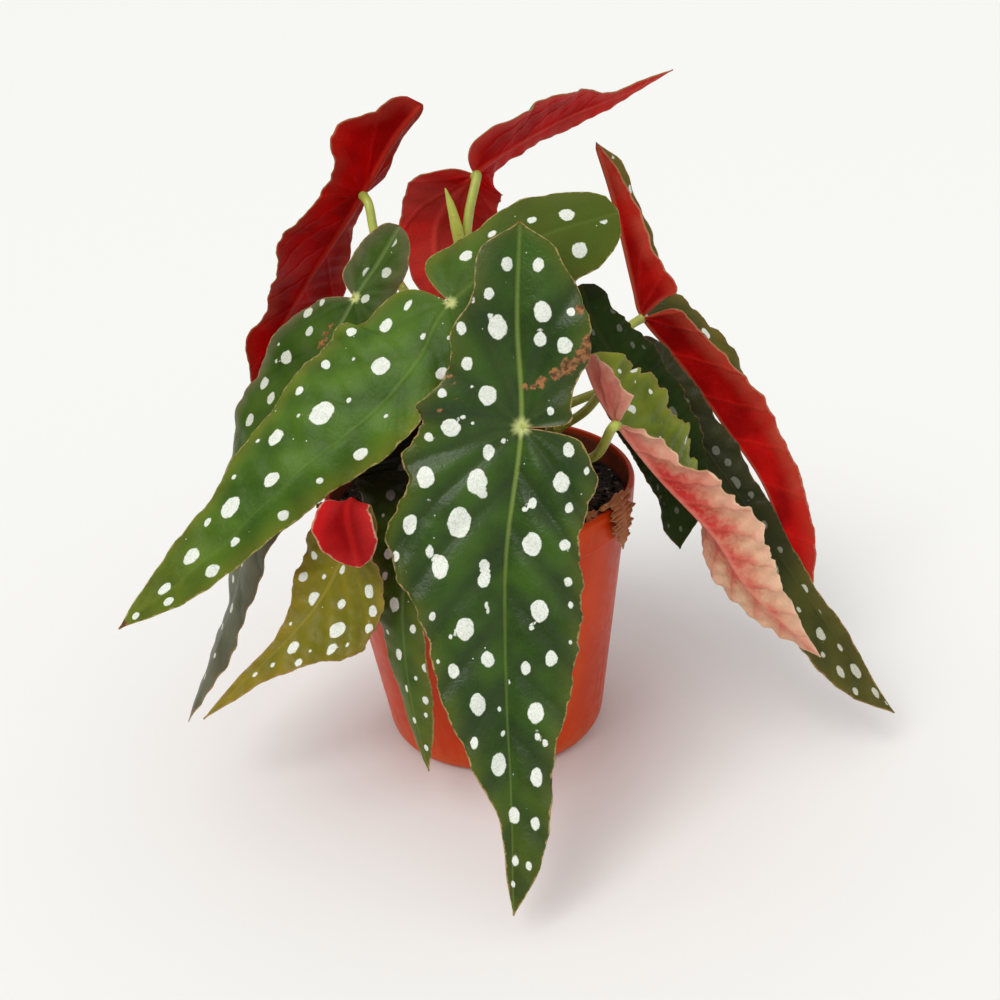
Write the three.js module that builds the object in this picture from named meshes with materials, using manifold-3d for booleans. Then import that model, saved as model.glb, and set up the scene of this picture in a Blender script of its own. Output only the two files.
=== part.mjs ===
// A potted polka dot begonia: a plastic pot, its soil, three leafy stems and eleven spotted blades.
// Millimetres, +Z up, origin at the middle of the pot's underside, the front of the plant towards -Y.

import * as THREE from 'three';
import { mergeVertices } from 'three/addons/utils/BufferGeometryUtils.js';
import Module from 'manifold-3d';

const wasm = await Module();
wasm.setup();

// Pot: a 12 cm grower's pot with a tall rim collar.
const potHeight = 109;
const rimRadius = 60;
const collarHeight = 14;
const collarStep = 2.5;
const footRadius = 44;
const footRound = 6;
const potWall = 1.5;
const footGroove = { inner: 20, outer: 36, depth: 1.6 };
const drain = { count: 6, radius: 4, ring: 28 };
const potSides = 40;

// Soil: filled to a finger's width below the rim, with crumbs on top.
const soilLevel = 100;
const soilCrumb = 1.1;
const soilLumpPitch = 5.5;

// Clear space between pieces that touch on the real plant.
const gap = 0.3;

// Blades: thickness, and how finely each one is divided.
const bladeThickness = 0.8;
const bladeRows = { lobe: 7, main: 15 };
const bladeColumns = 8;
const thinnestHalf = 0.35;
const waveCount = 7;

// Stems: radius of the canes and of the leaf stalks that grow from them.
const caneRadius = 3.4;
const caneSides = 9;
const stalkRadius = 1.8;
const stalkSides = 7;
const stalkReach = 7;
const nodeRadius = 4.4;

// Each blade is a line of midrib points from the end of the back lobe to the tip, `joint` the point
// where the stalk joins, `face` the azimuth and elevation that the upper side faces at each point,
// `left` and `right` the half widths at even steps, and the folds the angles each half rises by at even
// steps. The margin is notched at the joint on one side, over about `closing` millimetres.
const blades = [
  {
    name: 'leaf_front',
    line: [[20, -48, 218], [17, -58, 189], [16, -66, 156], [8, -82, 117], [5, -98, 77], [4, -114, 45],
      [2, -131, 12]],
    joint: 2,
    face: [[-90, 15], [-90, 22], [-90, 28], [-90, 28], [-90, 26], [-90, 25], [-90, 20]],
    left: [13, 20, 23, 22, 16, 20, 26, 24, 23, 25, 25, 24, 22, 20, 16, 14, 13, 11, 7],
    right: [13, 14, 21, 23, 33, 32, 37, 34, 39, 36, 29, 25, 23, 20, 15, 11, 5, 3, 2],
    leftFold: [10, 10],
    rightFold: [10, 10],
    notch: 'left',
    wave: 1.2,
    phase: 1,
    cup: 12,
    ripple: 0,
    roundness: 1.4,
    closing: 1,
  },
  {
    name: 'leaf_left',
    line: [[55, -14, 211], [24, -26, 206], [-4, -40, 191], [-16, -52, 176], [-32, -60, 162],
      [-57, -66, 146], [-89, -72, 121], [-123, -76, 98]],
    joint: 2,
    face: [[-80, 30], [-85, 35], [-105, 35], [-115, 38], [-120, 38], [-120, 38], [-115, 38], [-110, 35]],
    left: [18, 20, 17, 15, 14, 13, 11, 9, 7],
    right: [15, 17, 20, 31, 32, 28, 22, 16, 10],
    leftFold: [-15, -15, -20, -35, -35],
    rightFold: [-20, -20, -10, 5, 10, 5, 0, -5, -10],
    notch: 'right',
    wave: 1.5,
    phase: 0,
    cup: 14,
    ripple: 0.01,
    closing: 2,
  },
  {
    name: 'leaf_back_left',
    line: [[-10, 34, 244], [-22, 36, 232], [-36, 40, 212], [-49, 46, 195], [-64, 50, 176],
      [-81, 52, 149], [-91, 48, 107]],
    joint: 2,
    face: [[120, 10], [115, 15], [115, 25], [115, 25], [120, 25], [125, 20], [130, 10]],
    left: [13, 22, 17, 16, 23, 28, 24, 17, 12, 14, 10, 6, 3],
    right: [4, 5, 8, 5, 7, 13, 20, 26, 23, 19, 14, 11, 6],
    leftFold: [5, -5, -20, -5, 0],
    rightFold: [20, 15, 20],
    notch: 'right',
    wave: 1.5,
    phase: 2,
    cup: 10,
    ripple: 0.01,
  },
  {
    name: 'leaf_left_behind',
    line: [[-21, 6, 207], [-30, 2, 195], [-39, -2, 184], [-59, -16, 156], [-80, -28, 127],
      [-92, -36, 87], [-117, -44, 36]],
    joint: 2,
    face: [[-100, 30], [-105, 30], [-120, 30], [-130, 30], [-155, 20], [-168, 12], [-170, 10]],
    left: [12, 16, 20, 25, 27, 21, 16, 12, 8],
    right: [11, 22, 26, 27, 24, 17, 13, 9, 7],
    leftFold: [-5, -10, -20, -15, -30],
    rightFold: [0, 5, 12, 8, -10],
    notch: 'right',
    wave: 1.5,
    phase: 0,
    cup: 14,
    ripple: 0.02,
    closing: 5,
  },
  {
    name: 'leaf_top',
    line: [[-10, 34, 170], [-9, 40, 198], [7, 26, 219], [25, 36, 228], [44, 48, 234], [65, 58, 239],
      [87, 70, 245]],
    joint: 2,
    face: [[95, -5], [100, 5], [100, 35], [100, 42], [100, 42], [100, 42], [100, 42]],
    left: [20, 24, 19, 15, 8, 7, 7, 6, 3],
    right: [11, 15, 17, 15, 24, 25, 15, 4, 3],
    leftFold: [10, 5, -5, -15, -5],
    rightFold: [10, 5, -5, -10, -10],
    notch: 'right',
    wave: 0.8,
    phase: 0,
    cup: 14,
    ripple: 0.01,
  },
  {
    name: 'leaf_back_right',
    line: [[54, 46, 224], [60, 44, 202], [66, 36, 170], [69, 32, 158], [82, 26, 141], [99, 20, 115],
      [118, 16, 82], [135, 14, 21]],
    joint: 3,
    face: [[20, 20], [20, 20], [20, 20], [25, 25], [30, 30], [35, 30], [45, 25], [45, 20]],
    left: [15, 19, 26, 31, 31, 28, 22, 15, 8],
    right: [8, 14, 22, 17, 20, 18, 15, 14, 9],
    leftFold: [60, 60, 65, 55, 45],
    rightFold: [40, 30, 45, 55, 55],
    notch: 'right',
    wave: 0.8,
    phase: 0,
    cup: 0,
    ripple: 0.01,
    roundness: 1,
    closing: 3,
  },
  {
    name: 'leaf_young_right',
    line: [[39, -44, 171], [43, -48, 159], [49, -50, 148], [62, -56, 130], [80, -60, 108],
      [93, -62, 86], [118, -64, 58]],
    joint: 2,
    face: [[20, 20], [20, 20], [20, 25], [35, 25], [70, 25], [80, 25], [80, 25]],
    left: [22, 26, 29, 29, 26, 19, 16, 11, 7],
    right: [12, 10, 12, 15, 15, 15, 12, 9, 4],
    leftFold: [60, 60, 60, 35, 15],
    rightFold: [30, 25, 25, 15, 0],
    notch: 'right',
    wave: 1,
    phase: 0,
    cup: 0,
    ripple: 0.03,
  },
  {
    name: 'leaf_low_left',
    line: [[-39, -84, 119], [-41, -82, 137], [-40, -74, 138], [-43, -64, 122], [-54, -66, 101],
      [-69, -72, 86], [-100, -80, 62]],
    joint: 3,
    face: [[80, -10], [85, -40], [90, -85], [-110, 30], [-110, 35], [-110, 30], [-110, 25]],
    left: [8, 6, 12, 18, 22, 22, 12, 6, 3],
    right: [12, 7, 13, 14, 14, 10, 4, 3, 2],
    leftFold: [20, 25, 0, 5, 15],
    rightFold: [0, 0, 0, -5, -10],
    notch: 'none',
    wave: 1.5,
    phase: 0,
    cup: 8,
  },
  {
    name: 'leaf_narrow_front',
    line: [[-22, -34, 160], [-20, -36, 146], [-17, -48, 135], [-23, -59, 114], [-28, -69, 97],
      [-29, -74, 76], [-28, -76, 56], [-25, -78, 31]],
    joint: 2,
    face: [[-100, 50], [-100, 40], [-100, 30], [-100, 15], [-95, 10], [-95, 10], [-95, 10], [-95, 10]],
    left: [12, 11, 7, 8, 7, 8, 8, 8, 5],
    right: [22, 27, 23, 18, 13, 11, 9, 6, 4],
    leftFold: [20, 25, 20, 12, 10],
    rightFold: [5, -10, -30, -45, -55],
    notch: 'none',
    wave: 1.5,
    phase: 0,
    cup: 10,
    ripple: 0.03,
  },
  {
    name: 'leaf_dark_right',
    line: [[42, -8, 185], [46, -14, 170], [55, -18, 154], [64, -24, 130], [69, -28, 107], [73, -31, 88]],
    joint: 2,
    face: [[-60, 40], [-60, 40], [-60, 35], [-60, 25], [-65, 15], [-70, 10]],
    left: [10, 14, 17, 18, 19, 19, 18, 14, 10],
    right: [11, 12, 16, 16, 15, 13, 10, 5, 6],
    leftFold: [-5, 0, 10, 20, 25],
    rightFold: [10, 10, 10, 20, 20],
    notch: 'none',
    wave: 0.8,
    phase: 0,
    cup: 10,
    ripple: 0.01,
  },
  {
    name: 'leaf_right',
    line: [[66, 21, 154], [69, 16, 147], [73, 9, 140], [85, -1, 119], [101, -14, 95], [118, -26, 68],
      [135, -39, 43], [153, -47, 18]],
    joint: 2,
    face: [[-60, 35], [-60, 35], [-60, 35], [-60, 30], [-60, 30], [-60, 30], [-60, 25], [-60, 25]],
    left: [9, 10, 11, 9, 8, 6, 5, 5, 2],
    right: [6, 12, 20, 21, 21, 19, 17, 16, 11],
    leftFold: [30, 30, 35, 30, 20],
    rightFold: [10, 10, 10, 5, 5],
    notch: 'none',
    wave: 0.8,
    phase: 0,
    cup: 10,
    ripple: 0.015,
  },
];

// Each stem is a cane standing in the soil and the stalks that leave it for their blades.
const stems = [
  {
    name: 'stem_tall',
    cane: [[2, 6, 91], [-3, 4, 112], [2, 8, 136], [-3, 9, 160], [2, 12, 182], [1, 16, 194]],
    knots: [[-3, 4, 112], [2, 8, 136], [-3, 9, 160], [2, 12, 182]],
    stalks: [
      { blade: 'leaf_front', by: [[1, 6, 124], [7, -16, 137]] },
      { blade: 'leaf_left', by: [[-3, 9, 160], [-4, -12, 171]] },
      { blade: 'leaf_top', by: [[1, 16, 192], [4, 20, 207]], reach: 2 },
      { blade: 'leaf_back_left', by: [[-3, 9, 160], [-20, 22, 174], [-31, 29, 194]] },
    ],
    shoot: { foot: [1, 15, 189], tip: [-4, 16, 217], radius: 2.3 },
  },
  {
    name: 'stem_left',
    cane: [[-19, -18, 91], [-22, -17, 110], [-18, -14, 130], [-20, -10, 146]],
    knots: [[-22, -17, 110], [-18, -14, 130]],
    stalks: [
      { blade: 'leaf_left_behind', by: [[-20, -10, 144], [-28, 2, 162]] },
      { blade: 'leaf_narrow_front', by: [[-18, -14, 130], [-15, -34, 130]] },
      { blade: 'leaf_low_left', by: [[-22, -17, 110], [-44, -37, 114]] },
    ],
  },
  {
    name: 'stem_right',
    cane: [[24, 0, 91], [28, 2, 112], [32, 8, 132], [40, 14, 146]],
    knots: [[28, 2, 112], [32, 8, 132]],
    stalks: [
      { blade: 'leaf_back_right', by: [[38, 13, 143], [52, 24, 150]] },
      { blade: 'leaf_right', by: [[32, 8, 132], [52, 8, 138]] },
      { blade: 'leaf_dark_right', by: [[30, 5, 124], [42, -6, 136]] },
      { blade: 'leaf_young_right', by: [[28, 2, 112], [42, -27, 126]], reach: 3 },
    ],
  },
];

// Dry litter: a withered scrap of blade that hangs from the soil over the rim.
const litter = {
  azimuth: -33,
  path: [[46, 102.4], [52, 103.4], [55.4, 108], [58.8, 110.9], [61.6, 107], [61.8, 100], [61.4, 91]],
  tilt: [85, 100, 150, 90, 20, 0, 0],
  left: [4, 7, 8, 6, 5],
  right: [6, 8, 7, 8, 4],
  rows: { lobe: 4, main: 9 },
};

const colours = {
  pot: 0xb8442a,
  soil: 0x2a201b,
  stem: 0x9aa83a,
  blade: 0x3f6b35,
  youngBlade: 0xc98a72,
  litter: 0x7a4a33,
};

const radians = THREE.MathUtils.degToRad;

// A closed mesh as a solid, with the vertices that its faces share merged.
function toSolid(geometry) {
  const bare = geometry.clone();
  bare.deleteAttribute('normal');
  bare.deleteAttribute('uv');
  const merged = mergeVertices(bare, 1e-4);
  const vertProperties = new Float32Array(merged.getAttribute('position').array);
  const triVerts = new Uint32Array(merged.getIndex().array);
  return new wasm.Manifold(new wasm.Mesh({ numProp: 3, vertProperties, triVerts }));
}

// A solid's vertices and triangles as a geometry.
function toGeometry(solid) {
  const mesh = solid.getMesh();
  const geometry = new THREE.BufferGeometry();
  geometry.setAttribute('position', new THREE.BufferAttribute(mesh.vertProperties, 3));
  geometry.setIndex(new THREE.BufferAttribute(mesh.triVerts, 1));
  return geometry;
}

function mesh(name, geometry, colour, roughness) {
  const material = new THREE.MeshStandardMaterial({ color: colour, roughness, metalness: 0 });
  const piece = new THREE.Mesh(geometry, material);
  piece.name = name;
  return piece;
}

function vector(values) {
  return new THREE.Vector3(...values);
}

// A tube of even radius along a smooth curve through the points.
function tube(points, radius, sides, steps) {
  const corners = [];
  for (let i = 0; i < sides; i += 1) {
    const turn = (i / sides) * 2 * Math.PI;
    corners.push(new THREE.Vector2(radius * Math.cos(turn), radius * Math.sin(turn)));
  }
  const extrudePath = new THREE.CatmullRomCurve3(points, false, 'catmullrom', 0.5);
  return new THREE.ExtrudeGeometry(new THREE.Shape(corners), { steps, bevelEnabled: false, extrudePath });
}

// Smooth value of a row of points at t from 0 to 1, a Catmull-Rom curve with its ends carried straight on.
function along(rows, t) {
  const last = rows.length - 1;
  const place = Math.min(Math.max(t, 0), 1) * last;
  const i = Math.min(Math.floor(place), last - 1);
  const u = place - i;
  const row = (k) => {
    if (k < 0) {
      return rows[0].map((v, j) => 2 * v - rows[1][j]);
    }
    if (k > last) {
      return rows[last].map((v, j) => 2 * v - rows[last - 1][j]);
    }
    return rows[k];
  };
  const [a, b, c, d] = [row(i - 1), row(i), row(i + 1), row(i + 2)];
  return b.map((_, j) => {
    const slope = c[j] - a[j];
    const bend = 2 * a[j] - 5 * b[j] + 4 * c[j] - d[j];
    const twist = -a[j] + 3 * b[j] - 3 * c[j] + d[j];
    return 0.5 * (2 * b[j] + slope * u + bend * u * u + twist * u * u * u);
  });
}

// Fold at t from a list at even steps.
function foldAt(steps, t) {
  const place = Math.min(Math.max(t * (steps.length + 1) - 1, 0), steps.length - 1);
  const i = Math.min(Math.floor(place), steps.length - 2);
  return steps[i] + (steps[i + 1] - steps[i]) * (place - i);
}

// Half width at t along the blade: round at the lobe, pointed at the tip, smooth between the steps.
function halfWidth(steps, t, roundness) {
  const place = t * (steps.length + 1);
  if (place < 1) {
    return steps[0] * (1 - (1 - place) ** 2) ** roundness;
  }
  const rows = [0, ...steps, 0].map((w) => [w]);
  return Math.max(along(rows, t)[0], 0);
}

// The midrib as evenly indexed frames: place, length so far, direction, upward normal and left side.
function midrib(blade) {
  const samples = 24 * (blade.line.length - 1);
  const frames = [];
  let length = 0;
  for (let i = 0; i <= samples; i += 1) {
    const t = i / samples;
    const place = vector(along(blade.line, t));
    const step = 0.002;
    const behind = vector(along(blade.line, t - step));
    const direction = vector(along(blade.line, t + step)).sub(behind).normalize();
    const faces = blade.face.map(([azimuth, elevation]) => [
      Math.cos(radians(elevation)) * Math.cos(radians(azimuth)),
      Math.cos(radians(elevation)) * Math.sin(radians(azimuth)),
      Math.sin(radians(elevation)),
    ]);
    const normal = vector(along(faces, t));
    normal.addScaledVector(direction, -normal.dot(direction)).normalize();
    const left = new THREE.Vector3().crossVectors(normal, direction);
    length += i > 0 ? place.distanceTo(frames[i - 1].place) : 0;
    frames.push({ place, length, direction, normal, left });
  }
  return frames;
}

// The frame at a length along the midrib.
function frameAt(frames, length) {
  let i = 1;
  while (i < frames.length - 1 && frames[i].length < length) {
    i += 1;
  }
  const [a, b] = [frames[i - 1], frames[i]];
  const u = Math.min(Math.max((length - a.length) / (b.length - a.length), 0), 1);
  const mix = (key) => a[key].clone().lerp(b[key], u);
  return { place: mix('place'), normal: mix('normal').normalize(), left: mix('left').normalize() };
}

// The middle surface of a blade as rows of points. Across the midrib each half rises by its fold, less a
// cup that grows with the width, and waves up and down towards the margin.
function surface(blade, count = bladeRows) {
  const frames = midrib(blade);
  const whole = frames[frames.length - 1].length;
  const jointLength = frames[24 * blade.joint].length;
  const stations = [];
  for (let i = 0; i < count.lobe; i += 1) {
    stations.push(jointLength * (1 - (1 - i / count.lobe) ** 1.8));
  }
  for (let i = 0; i <= count.main; i += 1) {
    stations.push(jointLength + (whole - jointLength) * (i / count.main) ** 1.45);
  }
  const ripple = blade.ripple ?? 0.04;
  const roundness = blade.roundness ?? 0.5;
  return stations.map((length) => {
    const t = length / whole;
    const frame = frameAt(frames, length);
    const row = [];
    for (let j = 0; j <= bladeColumns; j += 1) {
      const u = (2 * j) / bladeColumns - 1;
      const side = u > 0 ? 'left' : 'right';
      const lag = side === 'left' ? 0 : 2.1;
      const turn = 2 * Math.PI * waveCount * t + blade.phase + lag;
      let half = halfWidth(blade[side], t, roundness) * (1 + ripple * Math.sin(turn));
      if (blade.notch === side) {
        half *= 1 - Math.exp(-Math.abs(length - jointLength) / (blade.closing ?? 3));
      }
      const reach = Math.max(half, thinnestHalf) * Math.abs(u);
      const fold = radians(foldAt(blade[`${side}Fold`], t) - blade.cup * (reach / 30 - 0.5));
      const swing = blade.wave * Math.max(1.02 - t, 0) ** 0.4 * Math.min(1, reach / 12) * Math.abs(u) ** 1.5;
      const point = frame.place.clone();
      point.addScaledVector(frame.left, Math.sign(u) * reach * Math.cos(fold));
      point.addScaledVector(frame.normal, reach * Math.sin(fold) + swing * Math.sin(turn));
      row.push(point);
    }
    return row;
  });
}

// A closed sheet of even thickness about rows of points, split into triangles alike on both faces.
function sheet(rows, thickness) {
  const last = rows.length - 1;
  const width = rows[0].length;
  const at = (i, j) => rows[Math.min(Math.max(i, 0), last)][Math.min(Math.max(j, 0), width - 1)];
  const faces = { top: [], under: [] };
  rows.forEach((row, i) => row.forEach((point, j) => {
    const down = at(i + 1, j).clone().sub(at(i - 1, j));
    const across = at(i, j + 1).clone().sub(at(i, j - 1));
    const normal = across.cross(down).negate().normalize();
    faces.top.push(point.clone().addScaledVector(normal, thickness / 2));
    faces.under.push(point.clone().addScaledVector(normal, -thickness / 2));
  }));
  const count = rows.length * width;
  const index = [];
  const quad = (a, b, c, d) => index.push(a, b, c, a, c, d);
  for (let i = 0; i < last; i += 1) {
    for (let j = 0; j < width - 1; j += 1) {
      const [a, b, c, d] = [i * width + j, (i + 1) * width + j, (i + 1) * width + j + 1, i * width + j + 1];
      index.push(a, b, c, a, c, d);
      index.push(count + a, count + c, count + b, count + a, count + d, count + c);
    }
    quad(i * width, count + i * width, count + (i + 1) * width, (i + 1) * width);
    const [r, s] = [i * width + width - 1, (i + 1) * width + width - 1];
    quad(r, s, count + s, count + r);
  }
  for (let j = 0; j < width - 1; j += 1) {
    quad(j, j + 1, count + j + 1, count + j);
    const e = last * width + j;
    quad(e, count + e, count + e + 1, e + 1);
  }
  const positions = [...faces.top, ...faces.under].flatMap((p) => [p.x, p.y, p.z]);
  const geometry = new THREE.BufferGeometry();
  geometry.setAttribute('position', new THREE.Float32BufferAttribute(positions, 3));
  geometry.setIndex(index);
  return geometry;
}

// Outer radius of the pot's wall at a height below the collar.
function wallRadius(height) {
  const top = rimRadius - 1 - collarStep;
  return footRadius + ((height - footRound) / (potHeight - collarHeight - footRound)) * (top - footRadius);
}

// Half outline of the pot, turned about its axis, with a foot ring, a raised groove and a middle boss.
function potBody() {
  const collarFoot = potHeight - collarHeight;
  const profile = [[0, 0], [footGroove.inner, 0], [footGroove.inner + 1, footGroove.depth]];
  profile.push([footGroove.outer - 1, footGroove.depth], [footGroove.outer, 0], [footRadius - footRound, 0]);
  for (let i = 1; i <= 4; i += 1) {
    const turn = (i / 4) * (Math.PI / 2);
    profile.push([
      footRadius - footRound + footRound * Math.sin(turn),
      footRound * (1 - Math.cos(turn)),
    ]);
  }
  profile.push([wallRadius(collarFoot), collarFoot], [rimRadius - 1, collarFoot + 1]);
  profile.push([rimRadius, potHeight - 2], [rimRadius - 0.6, potHeight], [rimRadius - 2.2, potHeight]);
  profile.push([rimRadius - 2.8, potHeight - 2], [rimRadius - 3.2, collarFoot + 2]);
  profile.push([wallRadius(collarFoot) - potWall, collarFoot - 1]);
  profile.push([footRadius - potWall, footRound], [footRadius - footRound, footGroove.depth + potWall]);
  profile.push([0, footGroove.depth + potWall]);
  const points = profile.map(([r, z]) => new THREE.Vector2(r, z));
  const shell = new THREE.LatheGeometry(points, potSides).rotateX(Math.PI / 2);
  let body = toSolid(shell);
  for (let i = 0; i < drain.count; i += 1) {
    const turn = ((i + 0.5) / drain.count) * 2 * Math.PI;
    const hole = new THREE.CylinderGeometry(drain.radius, drain.radius, 20, 16).rotateX(Math.PI / 2);
    hole.translate(drain.ring * Math.cos(turn), drain.ring * Math.sin(turn), 0);
    body = body.subtract(toSolid(hole));
  }
  return body;
}

// Height of the crumbs above the soil's level, fading out towards the wall.
function crumb(x, y) {
  const k = (2 * Math.PI) / soilLumpPitch;
  const coarse = Math.sin(0.31 * k * x + 1) * Math.cos(0.27 * k * y);
  const fine = Math.sin(0.83 * k * x + 0.4 * k * y) * Math.cos(0.71 * k * y - 0.3 * k * x);
  const fade = Math.min(1, Math.max(0, (50 - Math.hypot(x, y)) / 10));
  return soilCrumb * fade * (coarse + 0.7 * fine);
}

// The soil fills the pot inside its wall, and its top is raised into crumbs.
function soilBody() {
  const base = footGroove.depth + potWall + gap;
  const side = potWall + gap + 0.1;
  const collarFoot = potHeight - collarHeight;
  const profile = [[0, base], [footRadius - footRound - 0.5, base], [footRadius - side, footRound + 1]];
  profile.push([wallRadius(collarFoot - 2) - side, collarFoot - 2], [rimRadius - 3.8, collarFoot + 2.4]);
  profile.push([rimRadius - 3.8, soilLevel]);
  for (let r = 50; r > 0; r -= 6.25) {
    profile.push([r, soilLevel]);
  }
  profile.push([0, soilLevel]);
  const points = profile.map(([r, z]) => new THREE.Vector2(r, z));
  const ground = new THREE.LatheGeometry(points, potSides).rotateX(Math.PI / 2);
  const position = ground.getAttribute('position');
  for (let i = 0; i < position.count; i += 1) {
    if (position.getZ(i) > soilLevel - 0.01) {
      position.setZ(i, soilLevel + crumb(position.getX(i), position.getY(i)));
    }
  }
  let soil = toSolid(ground);
  for (const stem of stems) {
    const cane = stem.cane.map(vector);
    const below = cane[0].clone().sub(cane[1]).setLength(gap + 0.1);
    const room = toSolid(tube(cane, caneRadius + gap + 0.1, caneSides, 3 * (cane.length - 1)));
    soil = soil.subtract(room).subtract(room.translate([below.x, below.y, below.z]));
  }
  return soil;
}

// A stem's cane with its knots, its stalks up to the underside of their blades, and its young shoot.
function stemBody(stem) {
  let body = toSolid(tube(stem.cane.map(vector), caneRadius, caneSides, 3 * (stem.cane.length - 1)));
  for (const knot of stem.knots) {
    const ring = new THREE.SphereGeometry(nodeRadius, 9, 5).rotateX(Math.PI / 2).scale(1, 1, 0.6);
    body = body.add(toSolid(ring.translate(...knot)));
  }
  for (const stalk of stem.stalks) {
    const blade = blades.find((b) => b.name === stalk.blade);
    const frames = midrib(blade);
    const { place, normal } = frames[24 * blade.joint];
    const end = place.clone().addScaledVector(normal, -bladeThickness);
    const reach = place.clone().addScaledVector(normal, -(stalk.reach ?? stalkReach));
    const path = [...stalk.by.map(vector), reach, end];
    const rod = toSolid(tube(path, stalkRadius, stalkSides, 4 * (path.length - 1)));
    const room = toSolid(sheet(surface(blade), bladeThickness + 2 * gap + 0.1));
    body = body.add(rod.subtract(room));
  }
  if (stem.shoot) {
    const { foot, tip, radius } = stem.shoot;
    const axis = vector(tip).sub(vector(foot));
    const outline = [[0, 0], [0.7, 0], [1, 0.25], [0.95, 0.5], [0.6, 0.8], [0.2, 0.97], [0, 1]];
    const points = outline.map(([r, h]) => new THREE.Vector2(r * radius, h * axis.length()));
    const spear = new THREE.LatheGeometry(points, 8).rotateX(Math.PI / 2);
    const turn = new THREE.Quaternion().setFromUnitVectors(new THREE.Vector3(0, 0, 1), axis.normalize());
    body = body.add(toSolid(spear.applyQuaternion(turn).translate(...foot)));
  }
  // The largest shell alone, so that no pocket stays closed up where stalks meet the cane.
  return body.decompose().reduce((a, b) => (a.volume() > b.volume() ? a : b));
}

// The litter is a small blade whose line climbs from the soil over the rim.
function litterBlade() {
  const [c, s] = [Math.cos(radians(litter.azimuth)), Math.sin(radians(litter.azimuth))];
  return {
    line: litter.path.map(([r, z]) => [r * c, r * s, z]),
    joint: 2,
    face: litter.tilt.map((tilt) => [litter.azimuth, tilt]),
    left: litter.left,
    right: litter.right,
    leftFold: [0, 0],
    rightFold: [0, 0],
    notch: 'none',
    wave: 0.3,
    phase: 0,
    cup: 0,
    ripple: 0.15,
  };
}

const plant = new THREE.Group();
plant.add(mesh('pot', toGeometry(potBody()), colours.pot, 0.45));
plant.add(mesh('soil', toGeometry(soilBody()), colours.soil, 0.95));
for (const stem of stems) {
  plant.add(mesh(stem.name, toGeometry(stemBody(stem)), colours.stem, 0.5));
}
for (const blade of blades) {
  const colour = blade.name === 'leaf_young_right' ? colours.youngBlade : colours.blade;
  plant.add(mesh(blade.name, sheet(surface(blade), bladeThickness), colour, 0.45));
}
const scrap = sheet(surface(litterBlade(), litter.rows), bladeThickness);
plant.add(mesh('dry_litter', scrap, colours.litter, 0.9));

export default plant;
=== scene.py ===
import math

import bpy
import numpy as np
from mathutils import Matrix, Vector


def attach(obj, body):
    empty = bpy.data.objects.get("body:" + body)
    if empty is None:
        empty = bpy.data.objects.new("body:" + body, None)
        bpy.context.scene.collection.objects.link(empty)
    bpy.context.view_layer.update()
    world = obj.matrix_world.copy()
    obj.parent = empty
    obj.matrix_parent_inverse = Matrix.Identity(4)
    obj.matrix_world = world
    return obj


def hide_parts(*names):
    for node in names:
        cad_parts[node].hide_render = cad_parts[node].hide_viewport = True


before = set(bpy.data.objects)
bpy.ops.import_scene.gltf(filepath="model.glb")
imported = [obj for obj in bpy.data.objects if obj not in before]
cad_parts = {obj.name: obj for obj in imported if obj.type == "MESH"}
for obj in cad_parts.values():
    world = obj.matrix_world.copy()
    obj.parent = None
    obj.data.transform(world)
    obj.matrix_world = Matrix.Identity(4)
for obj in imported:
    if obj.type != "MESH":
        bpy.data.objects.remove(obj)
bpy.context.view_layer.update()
millimetre = 0.001
print("frame loaded:", len(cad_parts), "nodes")


# Shader helpers: a new node goes into the tree of the first socket that it is given

def addNode(kind, given, **settings):
    # a value or a socket goes into an input alike
    tree = next(value.id_data for value in given.values() if isinstance(value, bpy.types.NodeSocket))
    made = tree.nodes.new("ShaderNode" + kind)
    for label, value in settings.items():
        setattr(made, label, value)
    for label, value in given.items():
        if isinstance(value, bpy.types.NodeSocket):
            tree.links.new(value, made.inputs[label])
        else:
            made.inputs[label].default_value = value
    return made.outputs


def calc(operation, *values):
    return addNode("Math", dict(enumerate(values)), operation=operation)[0]


def plus(total, *others):
    for other in others:
        total = calc("ADD", total, other)
    return total


def times(product, *others):
    for other in others:
        product = calc("MULTIPLY", product, other)
    return product


def fade(value, low, high, start=0.0, end=1.0):
    # smooth step from start at low to end at high
    given = dict(enumerate((value, low, high, start, end)))
    return addNode("MapRange", given, interpolation_type="SMOOTHSTEP")[0]


def blend(factor, first, second):
    return addNode("Mix", {0: factor, 6: first, 7: second}, data_type="RGBA")[2]


def layered(colour, given, *layers):
    # each mask lays its own tint over what is beneath
    for mask, tint in layers:
        colour = blend(mask, colour, given[tint])
    return colour


def mottle(vector, scale, seed=0.0, detail=2.0, rough=0.5):
    given = {"Vector": vector, "W": seed, "Scale": scale, "Detail": detail, "Roughness": rough}
    return addNode("TexNoise", given, noise_dimensions="4D")[0]


def cells(vector, scale, feature="F1"):
    return addNode("TexVoronoi", {"Vector": vector, "Scale": scale}, feature=feature)


def split(vector):
    return addNode("SeparateXYZ", {0: vector})


def ownData(group, name):
    made = group.nodes.new("ShaderNodeAttribute")
    made.attribute_name = name
    return made.outputs


def ownPlace(group):
    return group.nodes.new("ShaderNodeTexCoord").outputs["Object"]


def newGroup(name, inputs):
    # a node group that puts out colour, roughness and height in millimetres
    group = bpy.data.node_groups.new(name, "ShaderNodeTree")
    for label, value in inputs.items():
        kind = "NodeSocketFloat" if isinstance(value, (int, float)) else "NodeSocketColor"
        socket = group.interface.new_socket(name=label, in_out="INPUT", socket_type=kind)
        socket.default_value = value if kind == "NodeSocketFloat" else (*value, 1)
    for label, kind in (("Colour", "Color"), ("Roughness", "Float"), ("Height", "Float")):
        group.interface.new_socket(name=label, in_out="OUTPUT", socket_type="NodeSocket" + kind)
    return group, group.nodes.new("NodeGroupInput").outputs


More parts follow.
